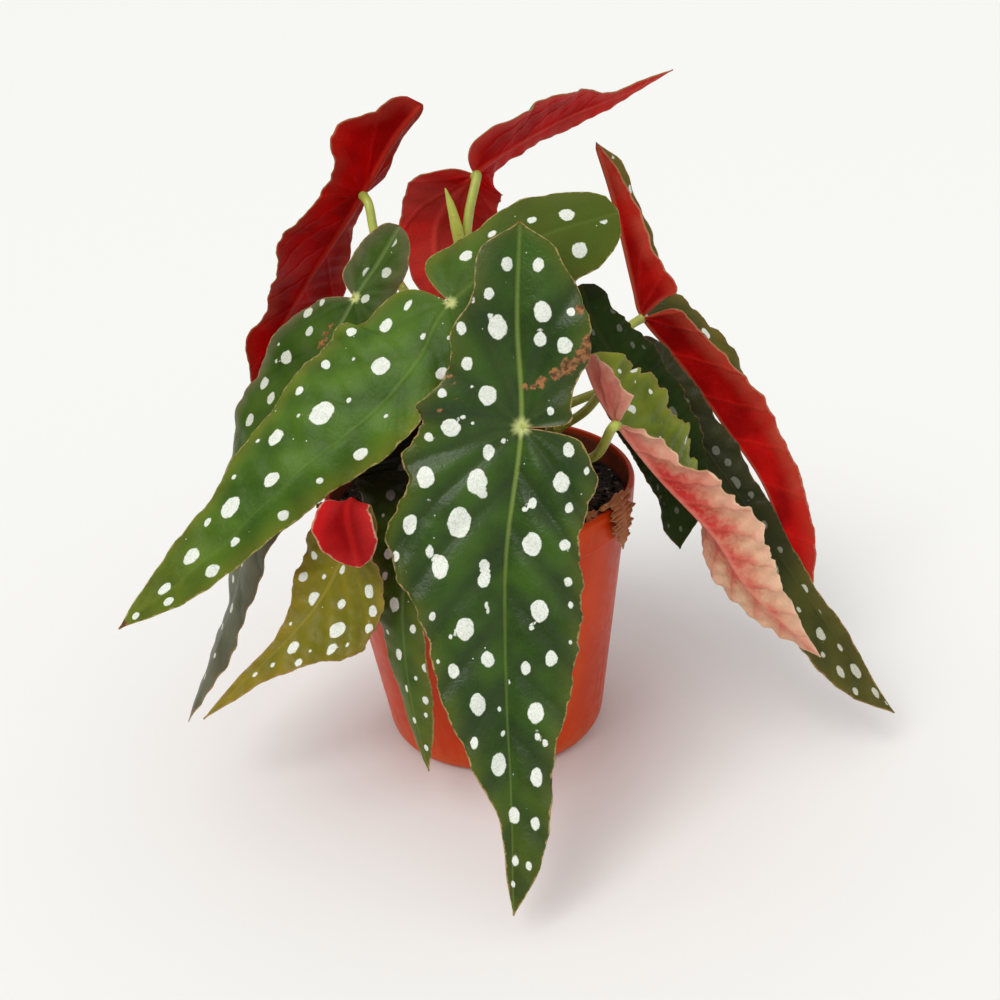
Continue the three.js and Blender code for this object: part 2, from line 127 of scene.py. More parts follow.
def closeGroup(group, *results):
    for socket, result in zip(group.nodes.new("NodeGroupOutput").inputs, results):
        group.links.new(result, socket)
    return group


def makeMaterial(name, group, values, shader):
    # the group gives colour, roughness and height; what is the same all over is on the shader's sockets
    material = bpy.data.materials.new(name)
    material.use_nodes = True
    tree = material.node_tree
    principled = tree.nodes["Principled BSDF"]
    placed = tree.nodes.new("ShaderNodeGroup")
    placed.node_tree = group
    for label, value in values.items():
        placed.inputs[label].default_value = (*value, 1) if isinstance(value, tuple) else value
    bump = tree.nodes.new("ShaderNodeBump")
    bump.inputs["Distance"].default_value = millimetre
    tree.links.new(placed.outputs["Height"], bump.inputs["Height"])
    tree.links.new(bump.outputs["Normal"], principled.inputs["Normal"])
    tree.links.new(placed.outputs["Colour"], principled.inputs["Base Color"])
    tree.links.new(placed.outputs["Roughness"], principled.inputs["Roughness"])
    for label, value in shader.items():
        principled.inputs[label].default_value = value
    return material


# Camera and light

def addToScene(name, data):
    added = bpy.data.objects.new(name, data)
    bpy.context.scene.collection.objects.link(added)
    return added


view = {
    "distance": 0.475, "pitch": 26, "roll": -4.2, "aim": (0.0075, 0, 0.0985), "lens": 43.74, "sensor": 36,
}


def placeCamera(view):
    pitch, roll = math.radians(view["pitch"]), math.radians(view["roll"])
    back = Vector((0, -math.cos(pitch), math.sin(pitch)))
    level = Vector((1, 0, 0))
    rise = back.cross(level)
    right = level * math.cos(roll) + rise * math.sin(roll)
    up = rise * math.cos(roll) - level * math.sin(roll)
    data = bpy.data.cameras.new("camera")
    data.lens, data.sensor_width = view["lens"], view["sensor"]
    data.clip_start, data.clip_end = 0.01, 200
    camera = addToScene("camera", data)
    camera.matrix_world = Matrix((right, up, back)).transposed().to_4x4()
    camera.location = Vector(view["aim"]) + back * view["distance"]
    bpy.context.scene.camera = camera


studio = {
    "overhead": (1.0, 1.0, 0.99),
    "level": (0.2, 0.21, 0.23),
    "dimBelow": 0.1,
    "brightAbove": 0.75,
    "skyStrength": 0.82,
    "backdrop": (1.1, 1.11, 1.08),
    "key": {"strength": 1.45, "spread": 36, "from": (-0.5, -0.6, 1.0), "colour": (1.0, 0.985, 0.95)},
    "fill": {"strength": 0.45, "spread": 80, "from": (0.5, -1.0, 0.3), "colour": (1.0, 0.98, 0.96)},
    "floorSize": 60,
    "floorColour": (0.87, 0.875, 0.86),
}


def addSun(name, light):
    data = bpy.data.lights.new(name, "SUN")
    data.energy, data.angle, data.color = light["strength"], math.radians(light["spread"]), light["colour"]
    addToScene(name, data).rotation_euler = Vector(light["from"]).to_track_quat("Z", "Y").to_euler()


def lightStudio(studio):
    world = bpy.data.worlds.new("studio")
    world.use_nodes = True
    bpy.context.scene.world = world
    tree = world.node_tree
    # a big soft box overhead: the sky is bright above and dim near the horizon
    ramp = tree.nodes.new("ShaderNodeValToRGB")
    low, high = ramp.color_ramp.elements
    low.color, low.position = (*studio["level"], 1), studio["dimBelow"]
    high.color, high.position = (*studio["overhead"], 1), studio["brightAbove"]
    height = split(tree.nodes.new("ShaderNodeTexCoord").outputs["Generated"])["Z"]
    tree.links.new(height, ramp.inputs[0])
    # straight from the camera it is as pale as the floor
    seen = tree.nodes.new("ShaderNodeLightPath").outputs["Is Camera Ray"]
    sky = tree.nodes["Background"].inputs
    tree.links.new(blend(seen, ramp.outputs[0], (*studio["backdrop"], 1)), sky["Color"])
    sky["Strength"].default_value = studio["skyStrength"]
    addSun("key", studio["key"])
    addSun("fill", studio["fill"])
    bpy.context.scene.view_settings.view_transform = "Standard"


placeCamera(view)
lightStudio(studio)
print("camera and light placed")


# Mesh helpers

def unit(vectors):
    return vectors / np.linalg.norm(vectors, axis=-1, keepdims=True)


spanSteps = 24


def smoothLine(points, perSpan=spanSteps):
    # Catmull-Rom curve through the points: half of 2b + (c-a)u + (2a-5b+4c-d)u^2 + (3b-a-3c+d)u^3 in
    # each span, its ends carried straight on
    points = np.asarray(points, float).reshape(len(points), -1)
    full = np.vstack([2 * points[0] - points[1], points, 2 * points[-1] - points[-2]])
    a, b, c, d = full[None, :-3], full[None, 1:-2], full[None, 2:-1], full[None, 3:]
    u = (np.arange(perSpan) / perSpan)[:, None, None]
    spans = 2 * b + (c - a) * u + (2 * a - 5 * b + 4 * c - d) * u**2 + (3 * b - a - 3 * c + d) * u**3
    return np.vstack([0.5 * spans.transpose(1, 0, 2).reshape(-1, points.shape[1]), points[-1:]])


def gridFaces(rows, columns, wrap=False):
    # four-cornered faces of a grid whose points run row by row
    i, j = np.meshgrid(np.arange(rows - 1), np.arange(columns if wrap else columns - 1), indexing="ij")
    k = (j + 1) % columns
    faces = np.stack([i * columns + j, i * columns + k, (i + 1) * columns + k, (i + 1) * columns + j], -1)
    return faces.reshape(-1, 4)


def newMesh(name, points, faces):
    mesh = bpy.data.meshes.new(name)
    mesh.from_pydata(points, [], faces)
    mesh.polygons.foreach_set("use_smooth", np.ones(len(mesh.polygons), bool))
    return mesh


def addMesh(name, points, faces, materials, replaced, data=None, which=None):
    # points in millimetres, data as values at the points, which as the material of each face
    mesh = newMesh(name, np.asarray(points) * millimetre, [list(face) for face in faces])
    for label, values in (data or {}).items():
        kind, key = ("FLOAT_VECTOR", "vector") if values.ndim == 2 else ("FLOAT", "value")
        mesh.attributes.new(label, kind, "POINT").data.foreach_set(key, values.astype(np.float32).ravel())
    for material in materials:
        mesh.materials.append(material)
    if which is not None:
        mesh.polygons.foreach_set("material_index", which.astype(np.int32))
    mesh.update()
    piece = addToScene(name, mesh)
    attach(piece, "root")
    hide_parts(*replaced)
    print(name, "has", len(faces), "faces")
    return piece


def joinShapes(shapes):
    # several closed shapes as one, with their faces renumbered
    points, faces, count = [], [], 0
    for shapePoints, shapeFaces in shapes:
        points.append(shapePoints)
        faces.extend([tuple(int(k) + count for k in face) for face in shapeFaces])
        count += len(shapePoints)
    return np.vstack(points), faces


def ringed(rings, low, high):
    # rings of points joined by faces and closed by a single point at either end
    count, sides = rings.shape[:2]
    first, base = count * sides, (count - 1) * sides
    faces = [tuple(face) for face in gridFaces(count, sides, wrap=True)]
    faces += [(first, (k + 1) % sides, k) for k in range(sides)]
    faces += [(first + 1, base + k, base + (k + 1) % sides) for k in range(sides)]
    return np.vstack([rings.reshape(-1, 3), [low], [high]]), faces


def turned(profile, sides):
    # a profile of radius and height turned about the axis, each of its ends a single point there
    profile = np.asarray(profile, float)
    turn = 2 * np.pi * np.arange(sides) / sides
    radius, height = profile[1:-1, 0, None], profile[1:-1, 1, None]
    rings = np.stack([radius * np.cos(turn), radius * np.sin(turn), height + 0 * turn], -1)
    return ringed(rings, (0, 0, profile[0, 1]), (0, 0, profile[-1, 1]))


def rounded(corners, steps=5):
    # each corner is a radius, a height and a cut, and a quadratic curve that starts and ends that cut
    # away from the corner rounds it
    corners = np.asarray(corners, float)
    profile = [corners[0, :2]]
    u = np.linspace(0, 1, steps)[:, None]
    for before, corner, after in zip(corners[:-2], corners[1:-1], corners[2:]):
        a = corner[:2] + unit(before[:2] - corner[:2]) * corner[2]
        b = corner[:2] + unit(after[:2] - corner[:2]) * corner[2]
        if corner[2]:
            profile.extend((1 - u) ** 2 * a + 2 * u * (1 - u) * corner[:2] + u**2 * b)
        else:
            profile.append(corner[:2])
    return np.array([*profile, corners[-1, :2]])


def tube(line, radii, sides=20):
    # circles of the given radii round a line, in a frame carried along without twist, closed at both ends
    direction = unit(np.gradient(line, axis=0))
    aside = np.zeros_like(line)
    last = np.cross(direction[0], (0.3, 1, 0.1))
    for i, way in enumerate(direction):
        last = unit(last - way * (last @ way))
        aside[i] = last
    other = np.cross(direction, aside)
    turn = (2 * np.pi * np.arange(sides) / sides)[None, :, None]
    outward = np.cos(turn) * aside[:, None] + np.sin(turn) * other[:, None]
    return ringed(line[:, None] + radii[:, None, None] * outward, line[0], line[-1])


# Blade finishes: the upper side is green with silver spots, the under side red

def bladeData(group):
    place = ownData(group, "place")["Vector"]
    spot, vein, edge = split(ownData(group, "markings")["Vector"])
    star, scarAndShadow, reach = split(ownData(group, "more")["Vector"])
    return place, split(place)[2], spot, vein, edge, star, scarAndShadow, reach


def upperGroup():
    group, given = newGroup("spottedUpperSide", {
        "Deep": (0.03, 0.085, 0.018), "Fresh": (0.075, 0.165, 0.035), "Warm": (0.2, 0.19, 0.03),
        "Warmth": 0.6, "Olive": (0.065, 0.085, 0.006), "Aged": 0.0, "Aged At": 0.12, "Young At": 0.3,
        "Shade": (0.008, 0.024, 0.002), "Valley Shade": 0.25, "Rib": (0.22, 0.3, 0.1), "Veins": 0.2,
        "Ribbed": 0.6, "Star": (0.62, 0.66, 0.25), "Starry": 3.4, "Spot": (0.8, 0.83, 0.75),
        "Specks": 0.5, "Margin": (0.36, 0.22, 0.08), "Dry": (0.36, 0.15, 0.05),
        "Scorched And Shadow": (0.1, 0.04, 0.016), "Dark": (0.008, 0.011, 0.003), "Painted Shade": 0.0, "Shade Ends At": 0.6,
        "Gloss": 0.34, "Seed": 0.0,
    })
    place, t, spot, vein, edge, star, scarAndShadow, reach = bladeData(group)
    seed = given["Seed"]
    broad = mottle(place, 0.045, seed, 3)
    grain = mottle(place, 0.6, seed, 3, 0.6)
    fine = mottle(place, 2.2, seed, 2, 0.6)

    nearMargin = fade(plus(edge, times(grain, 6)), 2, 11, 1, 0)
    worn = calc("MAXIMUM", nearMargin, fade(t, 0.72, 1.02))
    worn = times(worn, given["Warmth"], fade(grain, 0.25, 0.7, 0.5, 1))
    aged = times(fade(t, given["Aged At"], given["Young At"], 1, 0), given["Aged"])
    # painted shade: the valleys along the veins are darkened towards the Shade colour
    valleyShade = times(fade(vein, 0, 6, 1, 0), given["Valley Shade"])
    # veins are palest by the joint and fade outwards
    veinMask = times(fade(vein, 0, 2.2, 1, 0), given["Veins"], fade(star, 2, 30, 1, 0.3))
    besideRib = calc("DIVIDE", reach, fade(t, 0.2, 1, 1.5, 0.5))
    ribMask = times(fade(star, 4, 70, 1, 0.35), given["Ribbed"], fade(besideRib, 0.1, 0.9, 1, 0))
    ray = calc("MINIMUM", calc("MINIMUM", vein, reach), 3)
    colour = layered(
        blend(fade(broad, 0.38, 0.64), given["Deep"], given["Fresh"]), given,
        (worn, "Warm"), (fade(grain, 0.3, 0.75, 0, 0.3), "Fresh"), (aged, "Olive"), (valleyShade, "Shade"),
        (veinMask, "Rib"), (ribMask, "Rib"),
        (fade(plus(star, times(ray, 1.2)), 1, given["Starry"], 0.85, 0), "Star"),
    )

    # silver spots have an uneven edge and a grey scribble, and small specks lie between them
    aside, ahead, radius = split(ownData(group, "nearestSpot")["Vector"])
    away = calc("SQRT", plus(calc("POWER", aside, 2), calc("POWER", ahead, 2)))
    away = calc("MAXIMUM", calc("SUBTRACT", away, radius), calc("SUBTRACT", spot, 0.4))
    wobble = mottle(place, 0.32, seed, 2, 0.5)
    uneven = plus(away, fade(wobble, 0.2, 0.8, -0.4, 0.4), fade(fine, 0.2, 0.8, -0.1, 0.1))
    flecks = cells(place, 0.3)
    pick = split(flecks["Color"])
    size = times(fade(pick[0], 0.35, 1, 0, 0.16), given["Specks"])
    fleck = fade(calc("SUBTRACT", flecks["Distance"], size), -0.02, 0.02, 1, 0)
    fleck = times(fleck, fade(pick[1], 0.3, 0.5))
    beside = calc("MAXIMUM", fade(besideRib, 0.8, 1.3), fade(t, 0.78, 0.84))
    scribble = calc("ABSOLUTE", calc("SUBTRACT", mottle(place, 1.3, seed, 2, 0.5), 0.5))
    pale = calc("MAXIMUM", fade(uneven, -0.2, 0.2, 1, 0), times(fleck, 0.8))
    pale = times(pale, fade(scribble, 0, 0.05, 0.68, 1), fade(grain, 0.1, 0.5, 0.86, 1))
    silver = times(pale, times(beside, fade(edge, 0.4, 1)))

    # a thin tan margin, dry scars that on the front blade are partly a painted shadow, and painted shade
    # that darkens a blade from its base up to a place along it
    line = plus(edge, fade(grain, 0.3, 0.7, -0.3, 0.4))
    colour = layered(colour, given, (silver, "Spot"), (fade(line, 0.15, 0.6, 0.85, 0), "Margin"))
    # the scar mask also paints a shadow: on the front blade the dark gap beneath the lobe's lower edge is
    # drawn in these dry tones
    ragged = plus(scarAndShadow, fade(grain, 0.3, 0.7, -0.6, 0.6))
    dryAndShadow = blend(fade(grain, 0.4, 0.6), given["Dry"], given["Scorched And Shadow"])
    colour = blend(fade(ragged, -0.4, 0.5, 0.95, 0), colour, dryAndShadow)
    # painted shade: below the given place along it the blade is drawn in the Dark colour, standing in for
    # the shade of the leaves above
    paintedShade = times(fade(calc("SUBTRACT", t, given["Shade Ends At"]), -0.07, 0.07, 1, 0), given["Painted Shade"])
    colour = layered(colour, given, (paintedShade, "Dark"))

    gloss = plus(given["Gloss"], fade(fine, 0.3, 0.7, -0.05, 0.09), times(pale, 0.1))
    gloss = plus(gloss, fade(ragged, -0.6, 0.6, 0.3, 0))
    net = cells(place, 0.34, "DISTANCE_TO_EDGE")["Distance"]
    height = plus(
        fade(net, 0, 0.2, 0, 0.03), fade(vein, 0, 2.6, 0, 0.12), times(fine, 0.05),
        fade(uneven, -0.5, 0.3, 0.07, 0), times(grain, 0.16),
    )
    return closeGroup(group, colour, gloss, height)


def underGroup():
    group, given = newGroup("redUnderSide", {
        "Base": (0.42, 0.004, 0.003), "Dark": (0.2, 0.002, 0.002), "Pillow Shade": 0.25,
        "Cream": (0.66, 0.42, 0.24), "Creamy": 0.0, "Vein": (0.42, 0.07, 0.05), "Veins": 0.4,
        "Rib": (0.45, 0.12, 0.06), "Faded": (0.42, 0.04, 0.025), "Lobe Light": 0.0,
        "Margin": (0.4, 0.12, 0.06), "Gloss": 0.42, "Seed": 0.0,
    })
    place, t, _, vein, edge, _, _, reach = bladeData(group)
    seed = given["Seed"]
    broad = mottle(place, 0.05, seed, 3)
    grain = mottle(place, 0.55, seed, 3, 0.6)
    fine = mottle(place, 2.4, seed, 2, 0.6)
    net = cells(place, 0.3, "DISTANCE_TO_EDGE")["Distance"]

    # painted shade: the under side is darkened between its veins
    pillowShade = times(fade(vein, 0.5, 5), given["Pillow Shade"])
    cream = plus(
        fade(t, 0.35, 0.85, -0.3, 0.55), fade(grain, 0.3, 0.7, 0, 0.35), fade(edge, 0, 9, 0.25, 0),
        fade(vein, 0, 4, -0.12, 0.12), fade(reach, 0, 10, -0.3, 0.25), fade(broad, 0.35, 0.65, -0.1, 0.3),
    )
    cream = times(calc("MAXIMUM", cream, 0), given["Creamy"])
    veinMask = times(fade(vein, 0, 1.6, 1, 0), given["Veins"], fade(edge, 0, 8, 0.3, 1))
    besideRib = calc("DIVIDE", reach, fade(t, 0.2, 1, 1.8, 0.6))
    worn = times(fade(edge, 0, 9, 0.7, 0), fade(broad, 0.4, 0.6, 0.35, 1))
    # painted light: the back lobe of the under side is drawn paler, as though lit through
    lobe = times(fade(t, 0.28, 0.36, 1, 0), fade(broad, 0.35, 0.6, 0.5, 1), given["Lobe Light"])
    line = plus(edge, fade(grain, 0.3, 0.7, -0.3, 0.4))
    colour = layered(
        blend(fade(broad, 0.36, 0.62), given["Base"], given["Dark"]), given,
        (pillowShade, "Dark"), (cream, "Cream"), (fade(net, 0, 0.1, 0.06, 0), "Vein"), (veinMask, "Vein"),
        (fade(besideRib, 0.1, 1.2, 0.7, 0), "Rib"), (worn, "Faded"), (lobe, "Faded"),
        (fade(line, 0.2, 0.9, 0.8, 0), "Margin"),
    )
    gloss = plus(given["Gloss"], fade(fine, 0.3, 0.7, -0.06, 0.1))
    height = plus(fade(net, 0, 0.14, 0.05, 0), fade(vein, 0, 1.2, 0.3, 0), times(fine, 0.06))
    return closeGroup(group, colour, gloss, plus(height, times(grain, 0.2)))


upperSide, underSide = upperGroup(), underGroup()
underShader = {"Specular IOR Level": 0.03}
print("blade finishes ready")


# Blades

bladeGrid = {"lobeRows": 46, "mainRows": 124, "halfColumns": 28, "crowding": 1.25}
bladeSheet = {
    "edge": 0.3, "body": 0.35, "leastHalf": 0.3, "waveCount": 7, "ribRidge": 0.9, "ribGroove": 0.4,
    "veinRidge": 0.25,
}
bladeVeins = {
    "slant": 0.95, "bend": 0.007, "crowding": 0.9, "lean": 0.7,
    "fan": (72, 104, 138, 168), "fanBend": 0.004,
}
bladeTeeth = ((0.016, 2.7, 1), (0.008, 5.9, 0), (0.003, 13.3, 0))  # size, pace and start of each run
# A blade's line is its midrib from the back lobe to the tip, and its face is the way that its upper side
# looks at each of those points, as azimuth and elevation. Joint is the point that its stalk meets,
# counted from 0. Left and right are half widths at even steps, and the folds are the degrees that each
# half is bent up by. This is what a blade is like where its own dictionary says nothing else:
usualBlade = {
    "joint": 2, "notch": "right", "wave": 1.5, "phase": 0, "cup": 10, "ripple": 0.01, "roundness": 0.5,
    "closing": 3, "crimp": 0.25, "quilt": 0.45, "teeth": 1, "veins": 7, "specular": 0.15, "seed": 0,
    "spots": [], "scarsAndShadows": [], "upper": {}, "under": {},
}


def bladeLength(blade):
    # the midrib as a smooth line with its direction, upward normal and left side, by length along it
    line = smoothLine(blade["line"])
    azimuth, elevation = np.radians(np.array(blade["face"], float)).T
    facing = (np.cos(elevation) * np.cos(azimuth), np.cos(elevation) * np.sin(azimuth), np.sin(elevation))
    facing = smoothLine(np.stack(facing, 1))
    along = np.concatenate([[0], np.cumsum(np.linalg.norm(np.diff(line, axis=0), axis=1))])
    direction = unit(np.gradient(line, along, axis=0))
    normal = unit(facing - (facing * direction).sum(-1, keepdims=True) * direction)
    return along, line, normal, np.cross(normal, direction), spanSteps * blade["joint"]


def smoothAt(steps, first, place):
    # a smooth curve through steps that stand one apart from first on, level beyond both ends
    curve = smoothLine(steps)[:, 0]
    return np.interp(place, np.linspace(first, first + len(steps) - 1, len(curve)), curve)


def sideWidth(blade, side, t):
    # the steps are even ones between zero at both ends, and the back lobe has a round end
    steps = np.array([0, *blade[side], 0], float)
    place = t * (len(steps) - 1)
    lobe = steps[1] * np.clip(1 - (1 - np.minimum(place, 1)) ** 2, 0, 1) ** blade["roundness"]
    return np.where(place < 1, lobe, np.maximum(smoothAt(steps, 0, place), 0))


def halfAt(blade, t, aside):
    return float(sideWidth(blade, "left" if aside > 0 else "right", np.array(t)))


def foldAt(steps, t):
    return smoothAt(steps, 1, t * (len(steps) + 1))


def bladePlaces(joint, whole):
    # rows by length, closest at the joint, and places across from -1 to 1, closest at the midrib
    i = np.arange(bladeGrid["lobeRows"]) / bladeGrid["lobeRows"]
    k = np.arange(bladeGrid["mainRows"] + 1) / bladeGrid["mainRows"]
    rows = np.concatenate([joint * (1 - (1 - i) ** 1.5), joint + (whole - joint) * k**1.25])
    x = np.linspace(-1, 1, 2 * bladeGrid["halfColumns"] + 1)
    return rows[:, None], (np.sign(x) * np.abs(x) ** bladeGrid["crowding"])[None, :]


def bladeOutline(blade, along, t, u, joint, turn):
    # half width on the point's own side: waved, notched at the joint and finely toothed
    onLeft = u > 0
    half = np.where(onLeft, sideWidth(blade, "left", t), sideWidth(blade, "right", t))
    half = half * (1 + blade["ripple"] * np.sin(turn))
    if blade["notch"] != "none":
        closing = 1 - np.exp(-np.abs(along - joint) / blade["closing"])
        half = np.where(onLeft == (blade["notch"] == "left"), half * closing, half)
    teeth = sum(size * np.sin(pace * turn + start) for size, pace, start in bladeTeeth)
    return np.maximum(half * (1 + teeth * blade["teeth"]), bladeSheet["leastHalf"])


def veinDistance(along, out, joint, whole, count, shift):
    # side veins leave the rib at even steps and bend towards the tip; behind the joint they fan out from it
    origin = along - bladeVeins["slant"] * out - bladeVeins["bend"] * out**2
    place = count * np.clip((origin - joint) / (whole - joint), 0, 1) ** bladeVeins["crowding"]
    place = place + shift * (1 - np.exp(-place))
    pinnate = np.abs(place - np.round(place)) * (whole - joint) / count * bladeVeins["lean"]
    pinnate = np.where(origin < joint, bladeVeins["lean"] * (joint - origin), pinnate)
    turn, away = np.arctan2(out, along - joint), np.hypot(out, along - joint)
    fan = np.full(away.shape, 99.0)
    for angle in np.radians(bladeVeins["fan"]):
        lag = turn - angle + bladeVeins["fanBend"] * away
        fan = np.minimum(fan, np.where(np.cos(lag) > 0, away * np.abs(np.sin(lag)), away))
    return np.minimum(pinnate, fan)


def bladeRise(blade, t, u, reach, vein, turn):
    # the angle each half folds by, and the height that fold, wave, crimp and quilting between the veins
    # give over the midrib
    fold = np.where(u > 0, foldAt(blade["leftFold"], t), foldAt(blade["rightFold"], t))
    fold = np.radians(fold - blade["cup"] * (reach / 30 - 0.5))
    swing = blade["wave"] * np.maximum(1.02 - t, 0) ** 0.4 * np.minimum(1, reach / 12) * np.abs(u) ** 1.5
    rise = np.sin(fold) * (np.sqrt(reach**2 + 2.2) - 1.48) + swing * np.sin(turn)
    rise = rise + blade["crimp"] * np.minimum(1, reach / 8) * np.sin(3.1 * turn + 0.2 * reach)
    rise = rise + blade["quilt"] * (1 - np.exp(-((vein / 4) ** 2))) * (1 - np.exp(-((reach / 4) ** 2)))
    return fold, rise


def bladeSides(middle, t, reach, vein, edge):
    # the upper side, grooved along the midrib, and then the under side, with a ridge along each vein;
    # the sheet between them thins out towards the margin
    outward = -unit(np.cross(np.gradient(middle, axis=1), np.gradient(middle, axis=0)))
    thickness = bladeSheet["edge"] + bladeSheet["body"] * (1 - np.exp(-edge / 2.5))
    groove = bladeSheet["ribGroove"] * np.exp(-((reach / 0.9) ** 2)) * (1.1 - t)
    ridge = bladeSheet["ribRidge"] * np.exp(-((reach / 1.1) ** 2)) * (1.1 - t)
    ridge = ridge + bladeSheet["veinRidge"] * np.exp(-((vein / 0.8) ** 2)) * (1 - np.exp(-reach / 5))
    top = middle + outward * (thickness / 2 - groove)[..., None]
    under = middle - outward * (thickness / 2 + ridge * np.minimum(1, edge / 3))[..., None]
    return np.vstack([top.reshape(-1, 3), under.reshape(-1, 3)])


def bladeFaces(shape):
    # the upper grid, the lower grid the other way round, and a rim between their borders, with the
    # material of each face
    over = gridFaces(*shape)[:, ::-1]
    count = math.prod(shape)
    ring = np.arange(count).reshape(shape)
    ring = np.concatenate([ring[0, :-1], ring[:-1, -1], ring[-1, :0:-1], ring[:0:-1, 0]])
    following = np.roll(ring, -1)
    rim = np.stack([ring, following, following + count, ring + count], -1)
    which = np.repeat([0, 1, 0], [len(over), len(over), len(rim)])
    return np.vstack([over, over[:, ::-1] + count, rim]), which


def nearest(along, across, marks, stretch=1.0):
    # signed distance to the edge of the nearest of the oval marks, each an along, across and radius,
    # and the offset from that mark's centre with its radius
    found = np.full(along.shape, 9.0)
    offset = np.full((*along.shape, 3), 9.0)
    for markAlong, markAcross, radius in marks:
        ahead, aside = (along - markAlong) / stretch, (across - markAcross) * stretch
        away = np.hypot(ahead, aside) - radius
        closer = away < found
        found = np.where(closer, away, found)
        here = np.stack([aside, ahead, radius + 0 * ahead], -1)
        offset = np.where(closer[..., None], here, offset)
    return found, offset


def listed(blade, key, whole):
    # a mark is set by its share in hundredths along the blade and across its half, and its width
    return [(a * whole / 100, s * halfAt(blade, a / 100, s) / 100, d / 2) for a, s, d in blade[key]]


def scattered(blade, whole):
    # seeded spots that keep clear of each other, smaller towards the tip and the margins
    seed, count, sizes = blade["scatter"]
    draw = np.random.default_rng(seed)
    spots = []
    for _ in range(40 * count):
        t, u, pick = draw.uniform(0.03, 0.96), draw.uniform(-0.9, 0.9), draw.uniform() ** 1.6
        half = halfAt(blade, t, u)
        radius = 0.5 * (sizes[0] + (sizes[1] - sizes[0]) * pick) * min(1, half / 12) * (1.15 - 0.5 * abs(u))
        along, across = t * whole, u * half
        clear = all(math.hypot(along - a, across - b) > 1.7 * (radius + r) + 1.2 for a, b, r in spots)
        if clear and abs(across) > radius + 1 and half > 3:
            spots.append((along, across, radius))
        if len(spots) >= count:
            break
    return spots


def bladePiece(name, node, blade):
    # A point lies on the midrib plus its left side times reach cos(fold) plus its normal times the rise,
    # where reach is the half width times the place across, from 0 to 1.
    length, line, normal, left, jointStep = bladeLength(blade)
    joint, whole = length[jointStep], length[-1]
    rows, u = bladePlaces(joint, whole)
    along, t = rows + 0 * u, rows / whole
    turn = 2 * np.pi * bladeSheet["waveCount"] * t + blade["phase"] + np.where(u > 0, 0, 2.1)
    half = bladeOutline(blade, along, t, u, joint, turn)
    reach = half * np.abs(u)
    across = reach * np.sign(u)
    vein = veinDistance(along, reach, joint, whole, blade["veins"], np.where(u > 0, 0.45, 0))
    edge = np.minimum(half - reach, np.minimum(along, whole - along) + 0.4)
    fold, rise = bladeRise(blade, t, u, reach, vein, turn)

    def atRows(values):
        return np.stack([np.interp(rows, length, values[:, axis]) for axis in range(3)], -1)

    middle = atRows(line) + atRows(left) * (across * np.cos(fold))[..., None]
    middle = middle + unit(atRows(normal)) * rise[..., None]
    points = bladeSides(middle, t, reach, vein, edge)
    faces, which = bladeFaces(along.shape)

    marks = listed(blade, "spots", whole)
    if "scatter" in blade:
        marks += scattered(blade, whole)
    spot, nearestSpot = nearest(along, across, marks, 1.08 + 0.22 * t**2)
    scarAndShadow = nearest(along, across, listed(blade, "scarsAndShadows", whole))[0]

    def bothSides(*values):
        return np.tile(np.stack([(value + 0 * along).ravel() for value in values], -1), (2, 1))

    data = {
        "place": bothSides(along, across, t),
        "markings": bothSides(np.minimum(spot, 4), np.minimum(vein, 9), np.minimum(edge, 20)),
        "more": bothSides(np.hypot(along - joint, across), np.minimum(scarAndShadow, 9), reach),
        "nearestSpot": bothSides(*np.moveaxis(nearestSpot, -1, 0)),
    }
    seed, sheen = {"Seed": float(blade["seed"])}, {"Specular IOR Level": blade["specular"]}
    materials = [
        makeMaterial(name + "_upper", upperSide, {**blade["upper"], **seed}, sheen),
        makeMaterial(name + "_under", underSide, {**blade["under"], **seed}, underShader),
    ]
    return addMesh(name, points, faces, materials, [node], data, which)


